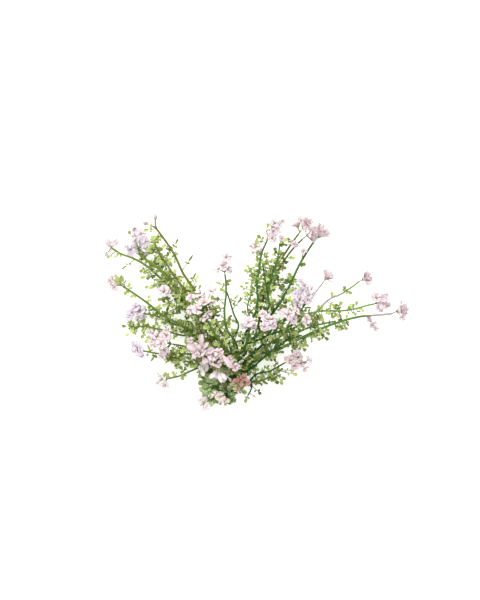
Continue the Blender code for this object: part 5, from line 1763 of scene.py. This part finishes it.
def add_grown_leaf(draft, leaf, paths, rng):
    """A leaf of the solid, on a stalk from the nearest part of its stem, between two small ones."""
    root, along, normal = (np.array(value) for value in (leaf.root, leaf.along, leaf.normal))
    path = min(paths, key=lambda one: one.distance(root))
    start, _ = path.at(path.nearest(root))
    end = root + along * leaf.stalk
    tone, far = rng.random(), openness(root)
    add_stalk(draft, start, end, LEAF_STALK_RADIUS * 1.15, STALK, stem_tone(root, rng), far)
    middle = end + along * leaf.length * 0.4
    lance = any(math.hypot(middle[0] - x, middle[1] - y) < LANCE_REACH for x, y in LANCES)
    size, breadth = (leaf.length * 1.5, leaf.width * 0.6) if lance else (leaf.length, leaf.width)
    add_leaf(draft, end, along, normal, size, breadth, tone, far, rng, lance)
    across = np.cross(along, normal)
    for sign in (-1, 1):
        lean = math.radians(rng.uniform(*BESIDE_OPENING))
        way = turned(along, sign * across, lean) + normal * rng.uniform(-0.1, 0.5)
        spot = start + (end - start) * rng.uniform(0.55, 0.95)
        size = leaf.length * rng.uniform(0.45, 0.7)
        tilt = normal + across * rng.uniform(-0.4, 0.4)
        breadth = size * rng.uniform(0.6, 0.75)
        side_tone = held(tone + rng.uniform(-0.3, 0.3))
        add_leaf(draft, spot, way, tilt, size, breadth, side_tone, far, rng, small=True)


def petal_finishes(tints):
    """The finish of the petals for each slot and tint: throat, ends, rim and the other shade."""
    pale, rosy = tints.pale, tints.pink
    colours = {
        "petal_pink": (rosy, pale, (0.81, 0.54, 0.56), (0.83, 0.75, 0.83)),
        "petal_lilac": (tints.lilac, pale, (0.76, 0.56, 0.66), (0.78, 0.72, 0.84)),
        "petal_coral": (tints.coral, (0.92, 0.5, 0.47), rosy, (0.9, 0.27, 0.25)),
        "dusty": ((0.7, 0.5, 0.5), (0.86, 0.78, 0.79), (0.72, 0.49, 0.51), (0.8, 0.7, 0.76)),
        "warm": ((0.84, 0.6, 0.61), (0.9, 0.84, 0.85), (0.82, 0.53, 0.54), (0.87, 0.76, 0.8)),
        "pale": ((0.93, 0.83, 0.83), (0.98, 0.965, 0.96), (0.88, 0.7, 0.68), (0.96, 0.91, 0.91)),
        "petal_cream": (tints.cream, (0.92, 0.88, 0.8), (0.85, 0.7, 0.6), rosy),
    }
    return {tint: petal_finish("petal_skin_" + tint.removeprefix("petal_"), *four)
            for tint, four in colours.items()}


def fine_facing(name, centre, axis, radius):
    """The way that a fine flower faces, and its radius."""
    if name in HEAD_WAYS:
        way, scale = HEAD_WAYS[name]
        return unit(np.array(way)), radius * scale
    if name in FUNNELS:
        return unit(axis * (1, 1, FUNNEL_LEAN)), radius
    return unit(axis + (0, 0, BLOOM_RISE - centre[2] * BLOOM_RISE_FALL)), radius


def add_flowers(draft, name, head, rng):
    """A head's stalks and flowers, some with a floret beside them. Returns the flowers' feet."""
    start, away = np.array(head.start), np.array(head.away)
    alone, funnel = len(head.flowers) == 1, name in FUNNELS
    sunk = SEAT_GAP + SUNK
    if not alone:
        knot = np.array(head.knot)
        draft.add(round_tube([start - away * sunk, start, knot], KNOT_RADII, ROUND_SIDES),
                  STALK, rng.random(), 0.0, 0.9)
        start, sunk = knot, 0.3
    feet = []
    for centre, axis, radius, turn in head.flowers:
        centre, axis = np.array(centre), unit(np.array(axis))
        foot = centre - axis * radius * FOOT_DEPTH
        feet.append(foot)
        root = start - unit(foot - start) * sunk
        add_stalk(draft, root, foot + axis * 0.3, BLOOM_STALK_RADIUS, STALK, rng.random(), 1.0, 6)
        axis, radius = fine_facing(name, centre, axis, radius)
        if name == STAR and foot[1] > STAR_THROAT:
            continue
        add_blossom(draft, foot, axis, radius, turn, rng, FUNNEL_RINGS if funnel else OPEN_RINGS)
        if funnel or alone or not rng.choice((0, 0, 1)):
            continue
        out = turned(*square_to(axis), rng.uniform(0, 2 * math.pi))
        aside, drop = rng.uniform(0.9, 1.15), rng.uniform(0.0, 0.3)
        middle = centre + out * radius * aside - axis * radius * drop
        lean = unit(out * rng.uniform(0.5, 1.2) + axis * 0.6)
        add_floret(draft, foot - axis * 0.2, middle, lean, radius * rng.uniform(0.38, 0.55), rng)
    return feet


def add_beside(draft, name, head, feet, rng):
    """The florets, leaves and long petals that lie beside or over some heads."""
    for x, y, z, radius in FLORETS.get(name, ()):
        middle = np.array((x, y, z))
        root = nearest_foot(feet, middle)
        add_floret(draft, root, middle, unit(unit(middle - root) * 0.8 + UPWARDS), radius, rng)
    centre, axis = (np.array(value) for value in head.flowers[0][:2])
    for base, tip, width in HEAD_LEAVES.get(name, ()):
        base, way = np.array(base), np.subtract(tip, base)
        add_stalk(draft, centre - axis * 2.0, base, LEAF_STALK_RADIUS, STALK, 1.0, 1.0)
        length = float(np.linalg.norm(way))
        add_leaf(draft, base, way, np.array((0.2, 0.2, 1.0)), length, width, 0.9, 1.0, rng)
    for base, tip, width in LONG_PETALS.get(name, ()):
        foot, tone = nearest_foot(feet, base), rng.uniform(0.2, 0.9)
        add_long_petal(draft, foot, base, tip, width, tone, rng)


def cut_face(path, radius):
    """The domed face where the main stem was cut, closed behind."""
    start, way = path.at(0.0)
    ring = circle(*square_to(way), CUT_SIDES)
    rings = [np.zeros((1, 3)) + start - way * CUT_DOME]
    for share in CUT_RINGS:
        rings.append(start - way * (CUT_DOME - 0.15 * share ** 4) + ring * share * radius)
    back = start + way * 0.4
    rings += [back + (rings[-1] - start) * 0.9, np.zeros((1, 3)) + back]
    k = np.arange(CUT_SIDES)
    following = (k + 1) % CUT_SIDES
    faces = [np.stack((np.zeros(CUT_SIDES, int), following + 1, k + 1), 1)]
    for number in range(len(CUT_RINGS)):
        faces += belt(1 + number * CUT_SIDES, CUT_SIDES)
    last = 1 + len(CUT_RINGS) * CUT_SIDES
    faces.append(np.stack((last + k, last + following, np.full(CUT_SIDES, last + CUT_SIDES)), 1))
    return np.concatenate(rings), np.concatenate(faces)


class GYPSOPHILA_OT_main_stem(bpy.types.Operator):
    """Make the main stem with its joints and its cut face"""

    bl_idname = "gypsophila.main_stem"
    bl_label = "Main Stem"

    def execute(self, context):
        stems = context.scene.gypsophila_stems
        draft = Draft()
        path = Path(main_curve.smooth)
        seats = [seat for seat, _ in SPRAYS.values() if seat < 1.0]
        line, radii = [], []
        for fraction in np.linspace(0.0, 1.0, round(path.length / MAIN_RING) + 1):
            line.append(path.at(fraction)[0])
            away = [(fraction - seat) * path.length / JOINT_REACH for seat in seats]
            swell = sum(math.exp(-(one ** 2)) for one in away)
            radius = MAIN_BASE_RADIUS + (MAIN_TIP_RADIUS - MAIN_BASE_RADIUS) * fraction
            radii.append(radius * (MAIN_WAIST + MAIN_SWELL * min(swell, 1.5)))
        draft.add(round_tube(line, radii, stems.sides * 2), STALK, 0.15, 0.0, 0.05)
        rim = np.concatenate(([0.0], np.repeat(CUT_RIMS, CUT_SIDES), [0.0]))
        draft.add(cut_face(path, radii[0]), CUT, 0.5, rim, 0.0)
        skin = stem_finish("main_stem_skin", stems.base, stems.tip, stems.olive, stems.blush)
        place_piece(draft, "main_stem", node_slot("main_stem"), [skin, cut_finish()])
        return {"FINISHED"}


class GYPSOPHILA_OT_sprays(bpy.types.Operator):
    """Make every leafy spray with its forks, leaf stalks, leaves and buds"""

    bl_idname = "gypsophila.sprays"
    bl_label = "Leafy Sprays"

    def execute(self, context):
        stems, leaves = context.scene.gypsophila_stems, context.scene.gypsophila_leaves
        stalk, plain, lime, cold = leaf_finishes()
        tints = context.scene.gypsophila_blossoms
        petal = petal_finish("petal_skin_bud", tints.lilac, tints.pale, tints.pink, BUD_SHADE)
        spacing, length = leaves.spacing / MM, leaves.length / MM
        paths = {}
        for name, (_, twigs) in SPRAYS.items():
            paths[name] = [Path(twig.curve.smooth) for twig in twigs]
        shared, buds = share_patches(paths), share_buds(paths)
        for number, (name, (_, twigs)) in enumerate(SPRAYS.items()):
            rng = random.Random(SPRAY_SEED + number)
            draft = Draft()
            for index, (twig, path) in enumerate(zip(twigs, paths[name])):
                add_twig(draft, (name, index), twig, path, stems.sides, rng)
                fill_twig(draft, twig, path, rng, spacing, length)
            fill_patch(draft, shared[name], rng, length)
            for root, middle, radius, tone in buds[name]:
                way = unit(unit(middle - root) + (0, 0, 0.3))
                add_closed_blossom(draft, root, middle, way, radius, tone, rng)
            for leaf in grown_leaves[name]:
                add_grown_leaf(draft, leaf, paths[name], rng)
            slot = node_slot(name)
            draft.shift_tone(LEAF, SHADES.get(name, 0.0))
            skin = cold if name in COLD_SPRAYS else lime if slot == "leaf_lime" else plain
            place_piece(draft, name, slot, [stalk, skin, petal])
        return {"FINISHED"}


class GYPSOPHILA_OT_blossoms(bpy.types.Operator):
    """Make every blossom head and cluster with its stalks, cups, petals and throat threads"""

    bl_idname = "gypsophila.blossoms"
    bl_label = "Blossom Heads"

    def execute(self, context):
        stems, tints = context.scene.gypsophila_stems, context.scene.gypsophila_blossoms
        base = [value * 1.5 for value in stems.base]
        stalk = stem_finish("blossom_stalk_skin", base, stems.tip, stems.olive, stems.blush)
        sepal = leaf_finish("sepal_skin", *SEPAL_GREENS)
        petals, threads = petal_finishes(tints), thread_finish()
        for number, (name, head) in enumerate(heads.items()):
            rng = random.Random(HEAD_SEED + number)
            draft = Draft()
            feet = add_flowers(draft, name, head, rng)
            add_beside(draft, name, head, feet, rng)
            slot = node_slot(name)
            tint = next((tint for tint, names in TINTS.items() if name in names), slot)
            place_piece(draft, name, slot, [stalk, sepal, petals[tint], threads])
        return {"FINISHED"}


class GYPSOPHILA_OT_stage(bpy.types.Operator):
    """Lay the pale floor and set the soft lights and the camera that looks down"""

    bl_idname = "gypsophila.stage"
    bl_label = "Stage"

    def execute(self, context):
        scene, stage = context.scene, context.scene.gypsophila_stage
        half = stage.floor / 2
        mesh = bpy.data.meshes.new("floor")
        corners = [(-half, -half, 0.0), (half, -half, 0.0), (half, half, 0.0), (-half, half, 0.0)]
        mesh.from_pydata(corners, [], [(0, 1, 2, 3)])
        mesh.materials.append(floor_finish())
        floor = link("floor", mesh)

        world = bpy.data.worlds.new("even_light")
        world.use_nodes = True
        sky = world.node_tree.nodes["Background"]
        sky.inputs["Color"].default_value = (1.0, 1.0, 1.0, 1.0)
        sky.inputs["Strength"].default_value = stage.sky
        scene.world = world
        scene.view_settings.view_transform = "Standard"

        lamp = bpy.data.lights.new("key_lamp", "AREA")
        lamp.energy = stage.key
        lamp.size = KEY_SIZE
        key = link("key_lamp", lamp)
        key.location = KEY_PLACE
        key.rotation_euler = (-Vector(KEY_PLACE)).to_track_quat("-Z", "Y").to_euler()

        eye = bpy.data.cameras.new("camera")
        eye.lens = stage.lens
        camera = link("camera", eye)
        camera.location = (*VIEW_CENTRE, stage.height)
        scene.camera = camera
        return {"FINISHED"}


class GYPSOPHILA_PT_panel(bpy.types.Panel):
    """The spray's pieces, each with its settings"""

    bl_idname = "GYPSOPHILA_PT_panel"
    bl_label = "Gypsophila"
    bl_space_type = "VIEW_3D"
    bl_region_type = "UI"
    bl_category = "Gypsophila"

    def draw(self, context):
        for operator, settings in STEPS:
            box = self.layout.box()
            box.operator(operator)
            group = getattr(context.scene, settings)
            for name in type(group).__annotations__:
                box.prop(group, name)


STEPS = [
    ("gypsophila.main_stem", "gypsophila_stems"),
    ("gypsophila.sprays", "gypsophila_leaves"),
    ("gypsophila.blossoms", "gypsophila_blossoms"),
    ("gypsophila.stage", "gypsophila_stage"),
]
GROUPS = {
    "gypsophila_stems": StemSettings,
    "gypsophila_leaves": LeafSettings,
    "gypsophila_blossoms": BlossomSettings,
    "gypsophila_stage": StageSettings,
}
OPERATORS = (
    GYPSOPHILA_OT_main_stem, GYPSOPHILA_OT_sprays, GYPSOPHILA_OT_blossoms, GYPSOPHILA_OT_stage,
)


def register():
    for kind in (*GROUPS.values(), *OPERATORS, GYPSOPHILA_PT_panel):
        bpy.utils.register_class(kind)
    for name, kind in GROUPS.items():
        setattr(bpy.types.Scene, name, PointerProperty(type=kind))


def unregister():
    for name in GROUPS:
        delattr(bpy.types.Scene, name)
    for kind in reversed((*GROUPS.values(), *OPERATORS, GYPSOPHILA_PT_panel)):
        bpy.utils.unregister_class(kind)


def main():
    register()
    for operator, _ in STEPS:
        group, name = operator.split(".")
        getattr(getattr(bpy.ops, group), name)()
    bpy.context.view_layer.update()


if __name__ == "__main__":
    main()
